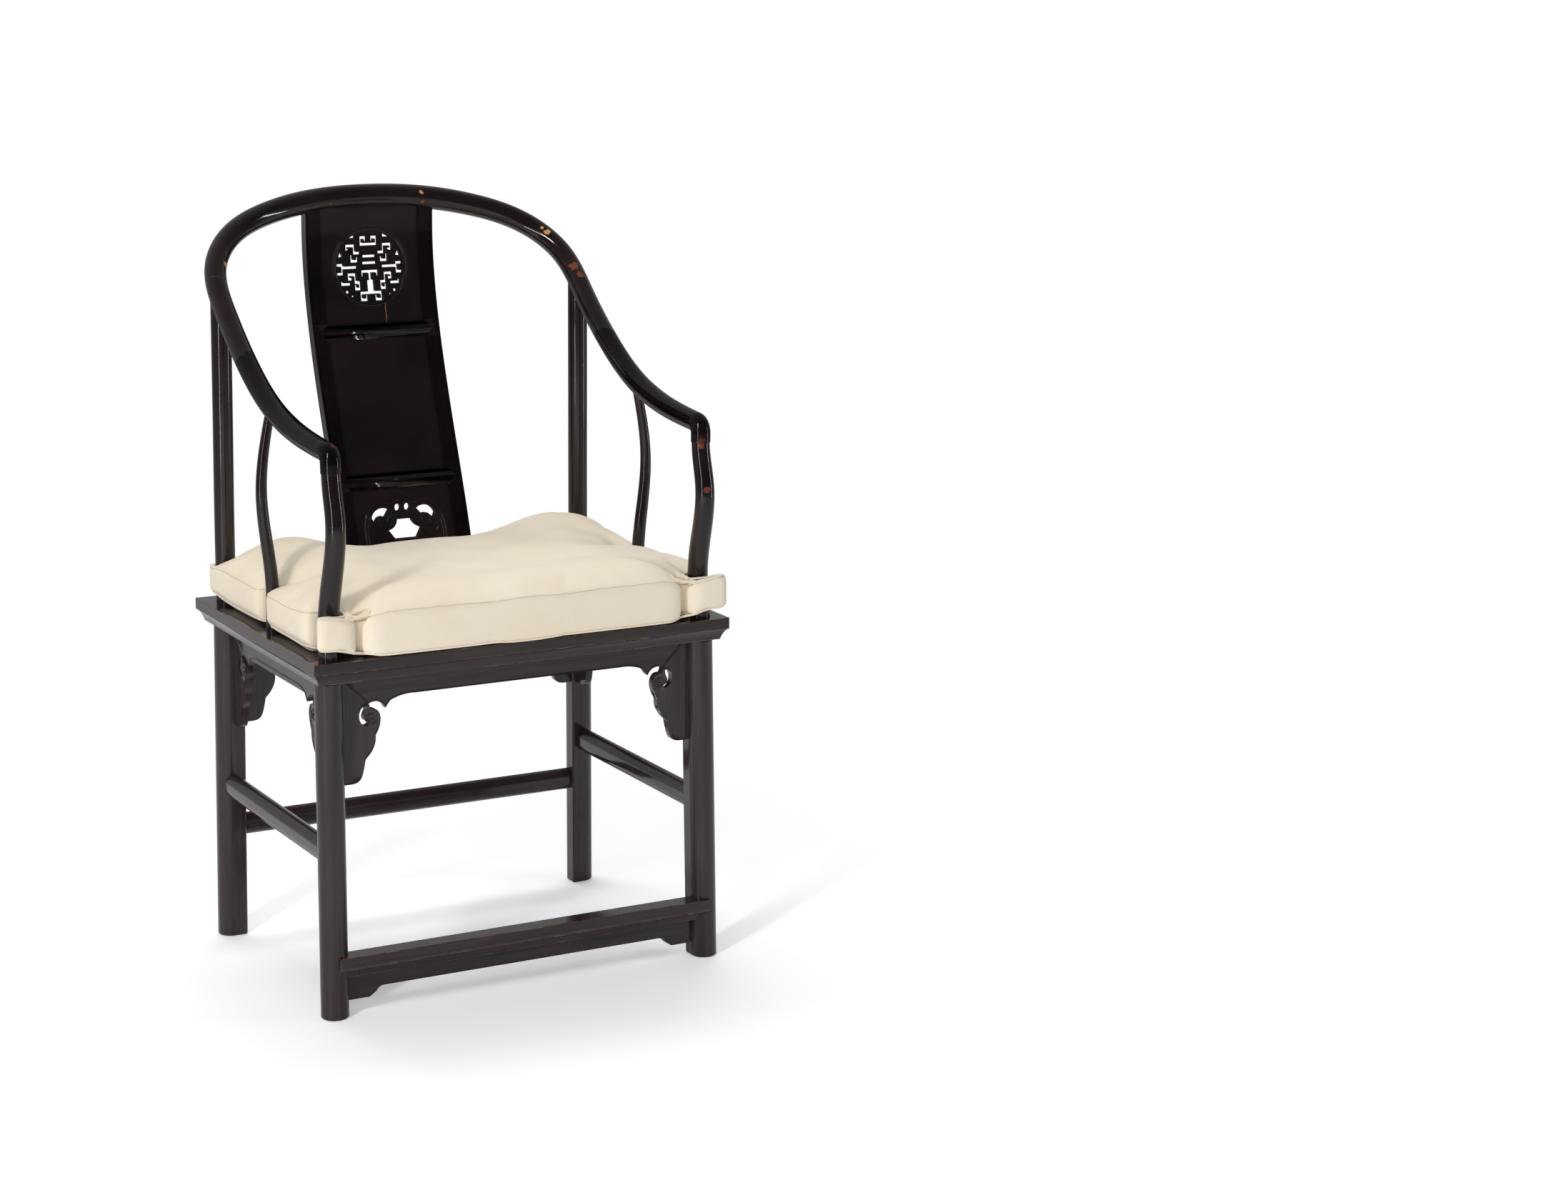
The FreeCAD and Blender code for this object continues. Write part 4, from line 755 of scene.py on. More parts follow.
FAR = 0.05
whole_rail = round_bar("whole_rail", rail_line, rail_radii, 48)
rail_centre = copy_of(whole_rail, "rail_centre")
arms = {}
for side, name in ((1, "rail_right"), (-1, "rail_left")):
    axes, along = lap_axes(side)
    place = axes.translation
    slice_off(rail_centre, place + along * HALF_LAP, along)
    cut_with(rail_centre, block(axes, (-HALF_LAP, -FAR, -FAR), (HALF_LAP + FAR, FAR, 0)))
    arm = slice_off(copy_of(whole_rail, name), place - along * HALF_LAP, -along)
    arms[side] = cut_with(arm, block(axes, (-HALF_LAP - FAR, -FAR, 0), (HALF_LAP, FAR, FAR)))
bpy.data.objects.remove(whole_rail)
print("lengths of the rail:", [o.name for o in (rail_centre, *arms.values())])

# %% Finish the rail
for side, arm in arms.items():
    seam_edges(paint(arm, lacquer_plain, lacquer_edge))
    hand_over(arm, "crest_rail_right" if side > 0 else "crest_rail_left")
seam_edges(paint(rail_centre, lacquer_plain, lacquer_edge))
hand_over(rail_centre, "crest_rail_centre")
for side in ("right", "left"):
    key = merged_copy("crest_rail_key_" + side, "rail_key_" + side)
    ease_edges(paint(key, lacquer_upright, lacquer_edge), EASE)
    hand_over(key, "crest_rail_key_" + side)
print("rail and its keys ready")

# %% [markdown]
# Each leg is one piece of wood from the floor to the arm. Below the seat it is round to the
# eye, and only the quarter that looks under the seat is left square, so that the boards have
# flat faces to meet. Above the seat it is a round post: the front one leans back, swells
# forwards and comes in again under the arm, a little thinner there, which keeps the sitter's
# knees clear.

# %% Legs and posts
POST_RADIUS, NECK_RADIUS = 13.4 * MM, 12.0 * MM
LEG_CHAMFER = 2.0 * MM


def mirrored_copy(piece, name):
    """The same piece for the other side of the chair, with its faces turned the right way."""
    twin = copy_of(piece, name)
    twin.data.transform(Matrix.Scale(-1, 4, (1, 0, 0)))
    open_mesh(twin)
    bpy.ops.mesh.flip_normals()
    bpy.ops.object.mode_set(mode="OBJECT")
    return twin


def lower_leg(name, foot, top, fore):
    """The right leg below the seat; fore is -1 for the front leg and 1 for the back one."""
    start()
    bpy.ops.mesh.primitive_circle_add(vertices=72, radius=LEG_RADIUS, fill_type="NGON", location=foot)
    leg = bpy.context.object
    leg.name = name
    for vertex in leg.data.vertices:
        x, y = vertex.co.x, vertex.co.y
        if x < -1e-6 and y * fore < -1e-6:
            longest = max(abs(x), abs(y))
            vertex.co.x, vertex.co.y = x * LEG_RADIUS / longest, y * LEG_RADIUS / longest
    open_mesh(draw_out(leg, top - foot))
    bpy.ops.mesh.dissolve_limited(angle_limit=math.radians(1.0))
    bpy.ops.object.mode_set(mode="OBJECT")
    leg.data.transform(Matrix.Translation(leg.location))
    leg.location = (0, 0, 0)
    return leg


front_leg = lower_leg("front_leg_and_post", *leg_lines[-1], -1)
back_leg = lower_leg("back_leg_and_post", *leg_lines[1], 1)
for leg in (front_leg, back_leg):
    ease_edges(leg, LEG_CHAMFER, 1, 60.0)
up = (0, 0, 1)
neck = [spot(262.5, -192.0, 430), spot(262.5, -192.0, 468)]
front_line = neck + smooth_line([spot(262.5, -192.0, 470), spot(260.2, -189.3, 525),
                                 spot(257.9, -212.3, 648), spot(257.9, -200.5, PIPE_JOINT)],
                                60, up, up)
front_radii = [float(np.interp(place.z, (0.56, 0.70), (POST_RADIUS, NECK_RADIUS)))
               for place in front_line]
cut_with(front_leg, round_bar("post", front_line, front_radii), "UNION")
back_line = [spot(262.5, 179.0, 430)] + smooth_line(
    [spot(262.5, 179.0, 470), spot(262.5, 179.0, 545), spot(261.7, 176.0, 700),
     spot(260.9, 173.0, 876)], 60, up)
cut_with(back_leg, round_bar("post", back_line, [POST_RADIUS] * len(back_line)), "UNION")
for leg, node in ((front_leg, "front_leg"), (back_leg, "back_leg")):
    ease_edges(paint(leg, lacquer_post, lacquer_edge), EASE, 2, 35.0)
    twin = mirrored_copy(leg, leg.name + "_left")
    hand_over(leg, node + "_right")
    hand_over(twin, node + "_left")
print("legs stand on", round(min(v.co.z for v in front_leg.data.vertices), 4))

# %% [markdown]
# In each corner under the seat a spandrel runs from the leg to the apron, which it meets in a
# mitre. It is sawn from a thin board: its edge curls round a comma-shaped hole, swells again
# below, and ends in a small foot on the leg. The outline is drawn once, in millimetres from
# the leg and down from the seat, and laid on all eight places. The carver then raised the
# bead along the edge and led it inwards, round a small boss, as a spiral.

# %% Scrolled spandrels
curl = [(38, 42.3), (45.5, 43.6), (50.4, 50), (51.4, 59), (49, 68.5), (44.6, 77)]
belly = [(44.6, 77.4), (44.3, 84), (42, 92), (37.5, 99.8), (31.2, 106.6)]
ankle = [(30.2, 108), (28.4, 117), (26.2, 126), (23.4, 132.5), (18.5, 136.6), (11.6, 138)]
comma = [(32.2, 38.6), (31.6, 44.5), (29.0, 51.0), (30.2, 56.8), (34.6, 59.8), (35.0, 62.6),
         (31.0, 63.8), (25.6, 60.4), (22.6, 52.5), (23.8, 44.0), (27.8, 39.0), (32.2, 38.6)]
BOSS = (40.0, 57.0)
SPIRAL_PLACES, ON_FACE = 26, 0.10 # the roll lies at a tenth of the board's depth


def drawn(knots, count):
    """A smooth line through places on the board's drawing."""
    return [(place.x, place.z) for place in smooth_line([(x, 0, z) for x, z in knots], count)]


def sawn(name, outline, place, depth):
    """A board sawn to an outline; place turns the drawing into the scene at one depth."""
    start()
    bpy.ops.mesh.primitive_circle_add(vertices=len(outline), radius=0.1, fill_type="NGON")
    board = bpy.context.object
    board.name = name
    for vertex, (x, z) in zip(board.data.vertices, outline):
        vertex.co = place(x, z, depth[0])
    return draw_out(board, place(0, 0, depth[1]) - place(0, 0, depth[0]))


for node in sorted(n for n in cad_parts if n.startswith("spandrel")):
    side = node.split("_")[1]
    facing = facings[side]
    k, across = (0, 1) if facing.x == 0 else (1, 0)
    low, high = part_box("apron_" + side)
    middle, half_span, top = (low[k] + high[k]) / 2, (high[k] - low[k]) / 2, high[2]
    low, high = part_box(node)
    end = 1 if low[k] + high[k] > 2 * middle else -1
    tongue = (max(abs(low[k] - middle), abs(high[k] - middle)) - half_span) / MM
    outer = high[across] if facing[across] > 0 else low[across]
    inner = low[across] if facing[across] > 0 else high[across]

    def place(x, z, depth):
        """Millimetres from the leg and below the seat, and a share of the board's depth."""
        spot_on_board = Vector((0, 0, top - z * MM))
        spot_on_board[k] = middle + end * (half_span - x * MM)
        spot_on_board[across] = outer + (inner - outer) * depth
        return spot_on_board

    outline = [(0, 0), (35.5, 35.5), *drawn(curl, 26), *drawn(belly, 18), *drawn(ankle, 20),
               (-tongue, 138), (-tongue, 0)]
    board = sawn(node + "_sawn", outline, place, (0, 1))
    cut_with(board, sawn("comma", drawn(comma, 48)[:-1], place, (-1, 2)))
    open_mesh(board)
    bpy.ops.mesh.quads_convert_to_tris()
    bpy.ops.object.mode_set(mode="OBJECT")
    paint(board, lacquer_upright, lacquer_edge)
    carve_bead(board, side)
    ease_edges(board, 0.0004)
    spiral = []
    for n in range(SPIRAL_PLACES):
        turn, reach = math.radians(150 - 12 * n), 4.4 + 0.16 * n
        spiral.append(place(BOSS[0] + reach * math.cos(turn), BOSS[1] + reach * math.sin(turn),
                            ON_FACE))
    thin_start = [1.1 * MM * min(1, 0.3 + n / 8) for n in range(SPIRAL_PLACES)]
    roll = round_bar("spiral", spiral, thin_start, 12)
    start()
    bpy.ops.mesh.primitive_uv_sphere_add(segments=20, ring_count=12, radius=2.6 * MM)
    boss = bpy.context.object
    boss.data.transform(Matrix.Translation(place(*BOSS, ON_FACE)))
    bpy.ops.object.shade_smooth()
    for part in (roll, boss):
        paint(part, lacquer_upright)
    hand_over(joined_to(board, [roll, boss]), node)
print("spandrels sawn and carved:", sum(n.startswith("spandrel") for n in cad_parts))

# %% [markdown]
# Half way along each arm a slender post bows outwards. It is thickest at the seat and thins
# towards the arm, which it meets in a small round tenon.

# %% Side posts
side_line = [spot(265.0, -5.3, 464)] + smooth_line(
    [spot(265.0, -5.3, 470), spot(265.0, -5.3, 525), spot(276.7, -5.3, 648),
     spot(260.5, -5.3, 762)], 70, up)
side_radii = [9.5 * MM]
side_radii += [float(np.interp(n / 69, (0, 0.55, 1), (9.5, 7.5, 6.0))) * MM for n in range(70)]
side_post = round_bar("side_post", side_line, side_radii, 32)
paint(side_post, lacquer_upright, lacquer_edge)
twin = mirrored_copy(side_post, "side_post_left_bar")
hand_over(side_post, "side_post_right")
hand_over(twin, "side_post_left")
print("side posts bow out to", round(max(v.co.x for v in side_post.data.vertices), 4))

# %% [markdown]
# The splat is what the sitter leans on: a frame of two stiles and three cross rails that
# holds three thin panels, all bent to one S. Bending finished parts is hard in wood and easy
# here, so each part is made flat, with its mouldings, and then laid on the curve. Every
# panel is bordered by a slope, as in a picture frame, and the slopes meet in mitres.

# %% The curve of the splat
splat_knots = [(470, 162.9), (526, 179.5), (564, 192.3), (611, 209.7), (658, 227.7), (705, 245.4),
               (752, 262.0), (799, 276.8), (846, 288.7), (893, 296.9), (940, 300.4), (977, 299.5)]
splat_line = smooth_line([spot(0, y, z) for z, y in splat_knots], 400)
splat_heights = np.array([place.z for place in splat_line])
splat_backs = np.array([place.y for place in splat_line])
splat_slopes = np.gradient(splat_backs, splat_heights)
STRIP = 8.0 * MM                 # how finely a flat part is divided before it is bent


def scored(piece, distances, way):
    """Draw new edges round a piece, at these distances along one way."""
    open_mesh(piece)
    for distance in distances:
        bpy.ops.mesh.select_all(action="SELECT")
        bpy.ops.mesh.bisect(plane_co=tuple(distance * Vector(way)), plane_no=way)
    bpy.ops.object.mode_set(mode="OBJECT")
    return piece


def divide(piece):
    """Cut a part into level strips, so that it can bend."""
    heights = [vertex.co.z for vertex in piece.data.vertices]
    return scored(piece, np.arange(min(heights) + STRIP / 2, max(heights), STRIP), (0, 0, 1))


def lay_on_curve(piece):
    """Move a flat upright part, whose middle plane is y = 0, on to the splat's curve."""
    for vertex in piece.data.vertices:
        middle = np.interp(vertex.co.z, splat_heights, splat_backs)
        slope = np.interp(vertex.co.z, splat_heights, splat_slopes)
        vertex.co.y = middle + vertex.co.y * math.hypot(1, slope)
    return piece


print("the splat leans back by", round(float(splat_backs[-1] - splat_backs[0]) * 1000), "mm")

# %% [markdown]
# A stile is a long bar. Planing one slope off its inner edge, on the front and on the back,
# is one cut with a tilted plane each time, and a fine groove follows its outer edge. Where
# a cross rail arrives, its pointed end needs a V notch: a square block, turned on its
# corner, cuts it.

# %% Stiles of the splat
HALF_SPLAT, OPENING = 94.0 * MM, 73.0 * MM
SLOPE = 10.5 * MM                # width of the slope that borders each panel
PROUD, SUNK = 8.0 * MM, 4.7 * MM # half thickness at the top and at the foot of a slope
cross_rails = {"upper": (799 * MM, 820 * MM), "lower": (601 * MM, 622 * MM)}
STILE_TOP, STILE_FOOT, LOW_RAIL = 981 * MM, 466 * MM, 488 * MM
GROOVE, GROOVE_FLOOR = 90.6, 0.88 # from the splat's middle, and what it leaves of the wood
stile = block(Matrix(), (OPENING, -PROUD, STILE_FOOT), (HALF_SPLAT, PROUD, STILE_TOP))
for face in (-1, 1):
    slice_off(stile, (OPENING, face * SUNK, 0), (SUNK - PROUD, face * SLOPE, 0))
divide(stile)
for low, high in cross_rails.values():
    turned = Matrix.Translation((OPENING, 0, (low + high) / 2)) @ Matrix.Rotation(math.pi / 4, 4, "Y")
    corner = SLOPE / math.sqrt(2)
    cut_with(stile, block(turned, (-corner, -0.02, -corner), (corner, 0.02, corner)))
scored(stile, [line * MM for line in (GROOVE - 1, GROOVE, GROOVE + 1)], (1, 0, 0))
for vertex in stile.data.vertices:
    if abs(vertex.co.x - GROOVE * MM) < 0.0001:
        vertex.co.y *= GROOVE_FLOOR
stile.name = "splat_stile_bent_right"
ease_edges(paint(stile, lacquer_upright, lacquer_edge), 0.0008, 2, 20.0)
lay_on_curve(stile)
twin = mirrored_copy(stile, "splat_stile_bent_left")
hand_over(stile, "splat_stile_right")
hand_over(twin, "splat_stile_left")
print("stiles bent, faces each:", len(stile.data.polygons))

# %% [markdown]
# A cross rail has no flat: two slopes rise to a ridge along its middle, one for the panel
# above and one for the panel below. Both ends are cut to a point, which is where the ridge
# runs into the flat of the stile.

# %% Cross rails and bottom rail
for name, (low, high) in cross_rails.items():
    ridge = (low + high) / 2
    rail = block(Matrix(), (-OPENING - SLOPE, -PROUD, low), (OPENING + SLOPE, PROUD, high))
    for face in (-1, 1):
        slice_off(rail, (0, face * SUNK, low), (0, face * SLOPE, SUNK - PROUD))
        slice_off(rail, (0, face * SUNK, high), (0, face * SLOPE, PROUD - SUNK))
        slice_off(rail, (face * (OPENING + SLOPE), 0, ridge), (face, 0, 1))
        slice_off(rail, (face * (OPENING + SLOPE), 0, ridge), (face, 0, -1))
    rail.name = "splat_rail_bent_" + name
    ease_edges(paint(divide(rail), lacquer_along_x, lacquer_edge), 0.0004, 1, 20.0)
    hand_over(lay_on_curve(rail), "splat_rail_" + name)
rail = block(Matrix(), (-OPENING, -PROUD, STILE_FOOT), (OPENING, PROUD, LOW_RAIL))
for face in (-1, 1):
    slice_off(rail, (0, face * SUNK, LOW_RAIL), (0, face * SLOPE, PROUD - SUNK))
rail.name = "splat_rail_bent_bottom"
ease_edges(paint(divide(rail), lacquer_along_x, lacquer_edge), 0.0004, 1, 20.0)
hand_over(lay_on_curve(rail), "splat_rail_bottom")
print("cross rails bent:", list(cross_rails))

# %% [markdown]
# The panels come from the joinery, which has already pierced them: a longevity roundel of
# straight fret strokes in the top one, and a cloud in the lower one. A carver pares the walls
# of such openings back with a knife. The walls get a dark lacquer, dull and barely
# reflecting: painted shade, so that they stay dark. Each panel is divided into strips and its
# two faces are laid on the smooth curve. On the front, a bead is carved round the roundel, and
# the old crack below it shows the ground through the lacquer.

# %% Panels
HALF_PANEL = 4.0 * MM
ROUNDEL = (0, 896.6 * MM)
FRET_REACH, CLOUD_REACH = 56 * MM, 62 * MM
CLOUD_LOW, CLOUD_HIGH = 515 * MM, 595 * MM
RING, OUTER_RING = 52.6, 55.8


def flat_bead(line, thick, closed=False, proud=0.5):
    """A carved bead along a line of (x, height), drawn flat, half sunk in the panel's face."""
    bead = swept("bead", [(x * MM, 0, z * MM) for x, z, size in line],
                 [size for x, z, size in line], thick * MM, 2, closed)
    for vertex in bead.data.vertices:
        vertex.co.y = vertex.co.y * proud - HALF_PANEL
    bpy.ops.object.shade_smooth()
    return bead


def open_up(panel, amount):
    """Pare the walls of the pierced work back, and give them the dull, dark lacquer that paints shade
    on them.
    """
    take(panel)
    for polygon in panel.data.polygons:
        x, y, z = polygon.center
        polygon.select = abs(polygon.normal.y) < 0.5 and abs(x) < CLOUD_REACH and (
            abs(z - ROUNDEL[1]) < FRET_REACH or CLOUD_LOW < z < CLOUD_HIGH)
        if polygon.select:
            polygon.material_index = 2
    bpy.ops.object.mode_set(mode="EDIT")
    bpy.ops.mesh.select_mode(type="FACE")
    bpy.ops.transform.shrink_fatten(value=-amount, use_even_offset=True)
    bpy.ops.object.mode_set(mode="OBJECT")
    return panel


def bent_panel(node, carving):
    """A panel from the joinery with its faces on the smooth curve, and its carving on it."""
    panel = merged_copy(node, node + "_bent")
    paint(panel, lacquer_upright, lacquer_edge, lacquer_painted_shade_in_holes)
    if node != "splat_panel_middle":
        open_up(panel, 0.4 * MM)
    divide(ease_edges(panel, 0.0003, 1))
    for vertex in panel.data.vertices:
        middle = np.interp(vertex.co.z, splat_heights, splat_backs)
        slope = np.interp(vertex.co.z, splat_heights, splat_slopes)
        offset = (vertex.co.y - middle) / math.hypot(1, slope)
        if abs(abs(offset) - HALF_PANEL) < 0.0011:
            offset = math.copysign(HALF_PANEL, offset)
        vertex.co.y = middle + offset * math.hypot(1, slope)
    for bead in carving:
        lay_on_curve(bead)
        if not bead.data.materials:
            paint(bead, lacquer_upright)
    hand_over(joined_to(panel, carving), node)
    return panel


def round_line(radius, count=96):
    """A circle round the roundel's middle, for a bead."""
    return [(ROUNDEL[0] + radius * math.cos(math.tau * n / count),
             ROUNDEL[1] / MM + radius * math.sin(math.tau * n / count), 1.0)
            for n in range(count)]


ring = [flat_bead(round_line(RING), 1.5, True), flat_bead(round_line(OUTER_RING), 0.6, True)]
crack = flat_bead([(18.5, 847, 1.0), (17.6, 839, 0.8), (18.2, 830, 1.0), (17.2, 820.5, 0.6)], 0.45)
paint(crack, bare_lacquer)
bent_panel("splat_panel_top", ring + [crack])
bent_panel("splat_panel_middle", [])
print("bead round the roundel:", 2 * RING, "mm across")

# %% [markdown]
# The cloud on the lower panel is carved as well as pierced: a roll runs up one side, over
# the top and down the other, with a finer roll inside it, short leaf strokes between them,
# and two scrolled heads that face each other over the middle opening. Each stroke is a line
# with a thickness at every point, drawn for the right side and mirrored for the left.

# %% Carving on the lower panel
outer_roll = [(59, 526, 1), (59.5, 542, 1), (58, 556, 1), (54, 568, 1), (47, 577, 1),
              (37, 582.5, 1), (26, 582.5, 0.9), (17, 579.5, 0.8), (11, 581.5, 0.9), (6, 586, 1),
              (0, 588, 0.8)]
inner_roll = [(55, 528, 1), (55.5, 543, 1), (53.5, 555, 1), (50, 565, 1), (44, 573, 1),
              (36, 578, 1), (26, 578.5, 0.8), (18, 575.5, 0.5)]
shoulder = [(8.5, 568.5, 0.5), (13.5, 564, 0.9), (18.5, 557.5, 1.2), (24, 549, 1.3),
            (30, 542, 1.1), (38, 537, 0.6)]
brow = [(12.5, 572.5, 0.5), (17.5, 569, 0.9), (22, 563.5, 1), (25.5, 557, 0.6)]
nose = [(0, 563.2, 1.2), (4.5, 564.5, 1), (7.5, 568.5, 0.5)]
scroll = []
for n in range(30):
    turn, reach = math.radians(70 - 17 * n), 8.0 - 0.21 * n
    scroll.append((31 + reach * math.cos(turn), 556 + reach * math.sin(turn), 1.15 - 0.025 * n))
leaves = [[(46.5, 541 + 6.5 * n, 0.4), (50, 545.5 + 6.5 * n, 1.0), (54, 548 + 6.5 * n, 0.5)]
          for n in range(4)]
strokes = [(outer_roll, 1.5), (inner_roll, 0.9), (shoulder, 1.5), (brow, 1.2), (nose, 1.4),
           (scroll, 1.2)]
strokes += [(leaf, 1.0) for leaf in leaves]


def through_points(line, count):
    """A stroke with more points, on a smooth line, and its thickness between them."""
    bend = smooth_line([(x, 0, z) for x, z, size in line], count)
    sizes = np.interp(np.linspace(0, 1, count), np.linspace(0, 1, len(line)),
                      [size for x, z, size in line])
    return [(place.x, place.z, size) for place, size in zip(bend, sizes)]


carving = []
for line, thick in strokes:
    for side in (1, -1):
        course = through_points([(side * x, z, size) for x, z, size in line], 4 * len(line))
        carving.append(flat_bead(course, thick, proud=0.9))
bent_panel("splat_panel_bottom", carving)
print("carved strokes:", len(carving))

# %% [markdown]
# The cushion is a box cushion in undyed cotton: a top, a bottom and a band between them.
# The seamstress cut its plan round every post and round the splat, so between two posts
# stands a lobe, a small pillow of its own, and in front of each front post a boxy ear.
# Below is the right half of her pattern, from the middle of the front edge round to the
# splat. It is drawn a little small, because the filling will push it out.

# %% The pattern
post_hole = [(262.5 + 15.5 * math.cos(math.radians(a)), 179 + 15.5 * math.sin(math.radians(a)))
             for a in (75, 45, 15, -15, -50, -90, -130, -165, 165, 135, 105)]
half_pattern = [
    (0, -221), (80, -220.5), (160, -220), (206, -219.5), (216, -216), (222, -208),
    (226.5, -190), (229.5, -190), (231.5, -207), (236, -216), (244, -220.5), (274, -221),
    (282, -218), (284.5, -213), (282.5, -208.5), (270, -208), (252, -208), (244, -203),
    (241.5, -192), (243, -181), (250, -175), (266, -174), (278, -173), (283, -168),
    (284.5, -160), (283, -98), (284.5, -36), (283, -27), (277, -21), (266, -18.5), (254, -17),
    (246, -10), (236, -5.3), (246, -0.6), (254, 6.5), (266, 8), (277, 10.5), (283, 16),
    (284.5, 25), (283, 98), (285.5, 184), (284, 191), (279, 195.5), (267.5, 198), *post_hole,
    (257.5, 199.5), (250, 200.5), (150, 200), (118, 200.5), (108, 198), (102, 190),
    (100.5, 176), (99.5, 157), (50, 156.5), (0, 156.5)]
pattern = half_pattern + [(-x, y) for x, y in reversed(half_pattern[1:-1])]
pattern = np.array(pattern) * MM + (0, seat_middle_y * MM)


def depth_in_pattern(places):
    """How far inside the pattern's cut line each place lies, whichever way is nearest."""
    nearest = np.full(len(places), 9.0)
    for a, b in zip(pattern, np.roll(pattern, -1, axis=0)):
        way = b - a
        share = np.clip((places - a) @ way / (way @ way), 0, 1)
        nearest = np.minimum(nearest, np.linalg.norm(places - a - share[:, None] * way, axis=1))
    return nearest


print("corners in the pattern:", len(pattern))

# %% [markdown]
# Cut flat, raised to a box, and crowned: the loose filling heaps up away from the seams, so
# the top rises with the distance from the nearest cut line. The seam stands highest in
# front, where the band hangs a little over the edge of the seat.

# %% Raise the cushion
BOTTOM, TOP_SEAM, CROWN = 473.5 * MM, 522.0 * MM, 18.0 * MM


def read_places(piece):
    """The places of a piece's vertices, as a table."""
    places = np.empty(len(piece.data.vertices) * 3)
    piece.data.vertices.foreach_get("co", places)
    return places.reshape(-1, 3)


def write_places(piece, places):
    """Give a piece's vertices their places back."""
    piece.data.vertices.foreach_set("co", places.ravel())
    piece.data.update()


def soft_step(values, low, high):
    """0 below the low value, 1 above the high one, and smooth between them."""
    share = np.clip((values - low) / (high - low), 0, 1)
    return share * share * (3 - 2 * share)


start()
bpy.ops.mesh.primitive_circle_add(vertices=len(pattern), radius=0.3, fill_type="NGON")
cushion = bpy.context.object
cushion.name = "cushion"
for vertex, (x, y) in zip(cushion.data.vertices, pattern):
    vertex.co = (x, y, BOTTOM)
draw_out(cushion, (0, 0, TOP_SEAM - BOTTOM))
worked(cushion, "even", "REMESH", mode="VOXEL", voxel_size=0.0055)
places = read_places(cushion)
inward = depth_in_pattern(places[:, :2])
lift = soft_step(places[:, 2], BOTTOM, TOP_SEAM)
heap = 1 - (1 - np.clip(inward / (85 * MM), 0, 1)) ** 2
front_rise = 7 * MM * soft_step(-places[:, 1], 0.15, 0.26)
places[:, 2] += lift * (CROWN * heap + front_rise)
write_places(cushion, places)
print("cushion before it is filled:", len(cushion.data.polygons), "faces")

# %% [markdown]
# Now the filling pushes. Blender's cloth blows the shell up from inside for twenty short
# steps, with no gravity, and the panels go round while the notches close and crease. No
# point may move further than a finger's breadth. Afterwards the cushion is pressed flat on
# the seat, and eased off the posts that it goes round.

# %% Fill the cushion
FURTHEST = 9.0 * MM
before = read_places(cushion)
take(cushion)
cloth = cushion.modifiers.new("filling", "CLOTH")
cloth.settings.quality = 5
cloth.settings.mass = 0.3
cloth.settings.tension_stiffness = cloth.settings.compression_stiffness = 25
cloth.settings.shear_stiffness = 12
cloth.settings.bending_stiffness = 1.5
cloth.settings.use_pressure = True
cloth.settings.uniform_pressure_force = 4
cloth.settings.effector_weights.gravity = 0
cloth.point_cache.frame_start, cloth.point_cache.frame_end = 1, 20
for step in range(1, 21):
    scene.frame_set(step)
bpy.ops.object.modifier_apply(modifier=cloth.name)
scene.frame_set(1)
after = read_places(cushion)
moved = after - before
length = np.linalg.norm(moved, axis=1)
moved *= (np.minimum(length, FURTHEST) / np.maximum(length, 1e-9))[:, None]
write_places(cushion, before + moved)
print("the filling pushed it out by up to", round(float(length.max()) * 1000, 1), "mm")
worked(cushion, "finer", "SUBSURF", levels=1, render_levels=1)
bpy.ops.object.shade_smooth()
print("cushion filled:", len(cushion.data.polygons), "faces")

# %% [markdown]
# The filling has moved over the years: broad shallow folds run over the top, from the
# splat's corners, from the notches and along the front. Each is a soft valley along a line.
# Puffing has drawn the sides in, so they are let out again to the width of the real cushion.
# A crease pinches each ear off, the two back lobes stand highest, the band's lower corners
# have drawn in and up, and the cloth lies against the splat.

# %% Folds, and how the cushion lies
folds = [
    # from, to, half width, depth, all in millimetres
    ((-100, 150), (-60, 20), 26, 3.2), ((100, 150), (150, 30), 24, 2.6),
    ((-236, -5), (-150, 20), 13, 5.0), ((236, -5), (165, -30), 13, 5.0),
    ((-236, -205), (-150, -120), 20, 4.0), ((236, -205), (170, -130), 16, 3.6),
    ((-215, -150), (40, -95), 22, 3.4), ((0, -130), (180, -60), 26, 2.4),
    ((-60, 60), (70, 10), 30, 2.4), ((60, 120), (40, -20), 28, 1.8),
    ((-246, 175), (-190, 110), 14, 4.0), ((246, 175), (200, 120), 14, 3.2),
    ((-262, -100), (-215, -80), 12, 2.6), ((262, -90), (215, -110), 12, 2.6),
    ((-262, 95), (-205, 70), 12, 2.6), ((262, 90), (210, 60), 12, 2.2),
]
posts = [(262.5, -192.0, 13.5), (265.0, -5.3, 9.5), (262.5, 179.0, 13.5)]
HALF_WIDTH, FRONT = 287.0, 226.0 # the real cushion, from the middle of the seat
STILL_INSIDE = 150               # what lies inside this isn't let out
NOTCH, CREASE = 228, 230
SEAT, SEAT_FRONT, SPLAT_LEAN = 470, 219.5, 0.26
ROOM, POST_ROOM = 0.7, 1.2       # to the seat, and to the posts
places = read_places(cushion)
plan = places[:, :2] / MM - (0, seat_middle_y)
top_share = soft_step(places[:, 2], 512 * MM, 530 * MM)
for first, last, wide, deep in folds:
    first, last = np.array(first, float), np.array(last, float)
    way = last - first
    along = (plan - first) @ way / (way @ way)
    away = np.linalg.norm(plan - first - np.clip(along, 0, 1)[:, None] * way, axis=1)
    fade = 1 - 0.75 * np.clip(along, 0, 1)
    places[:, 2] -= MM * deep * fade * np.exp(-(away / wide) ** 2) * top_share
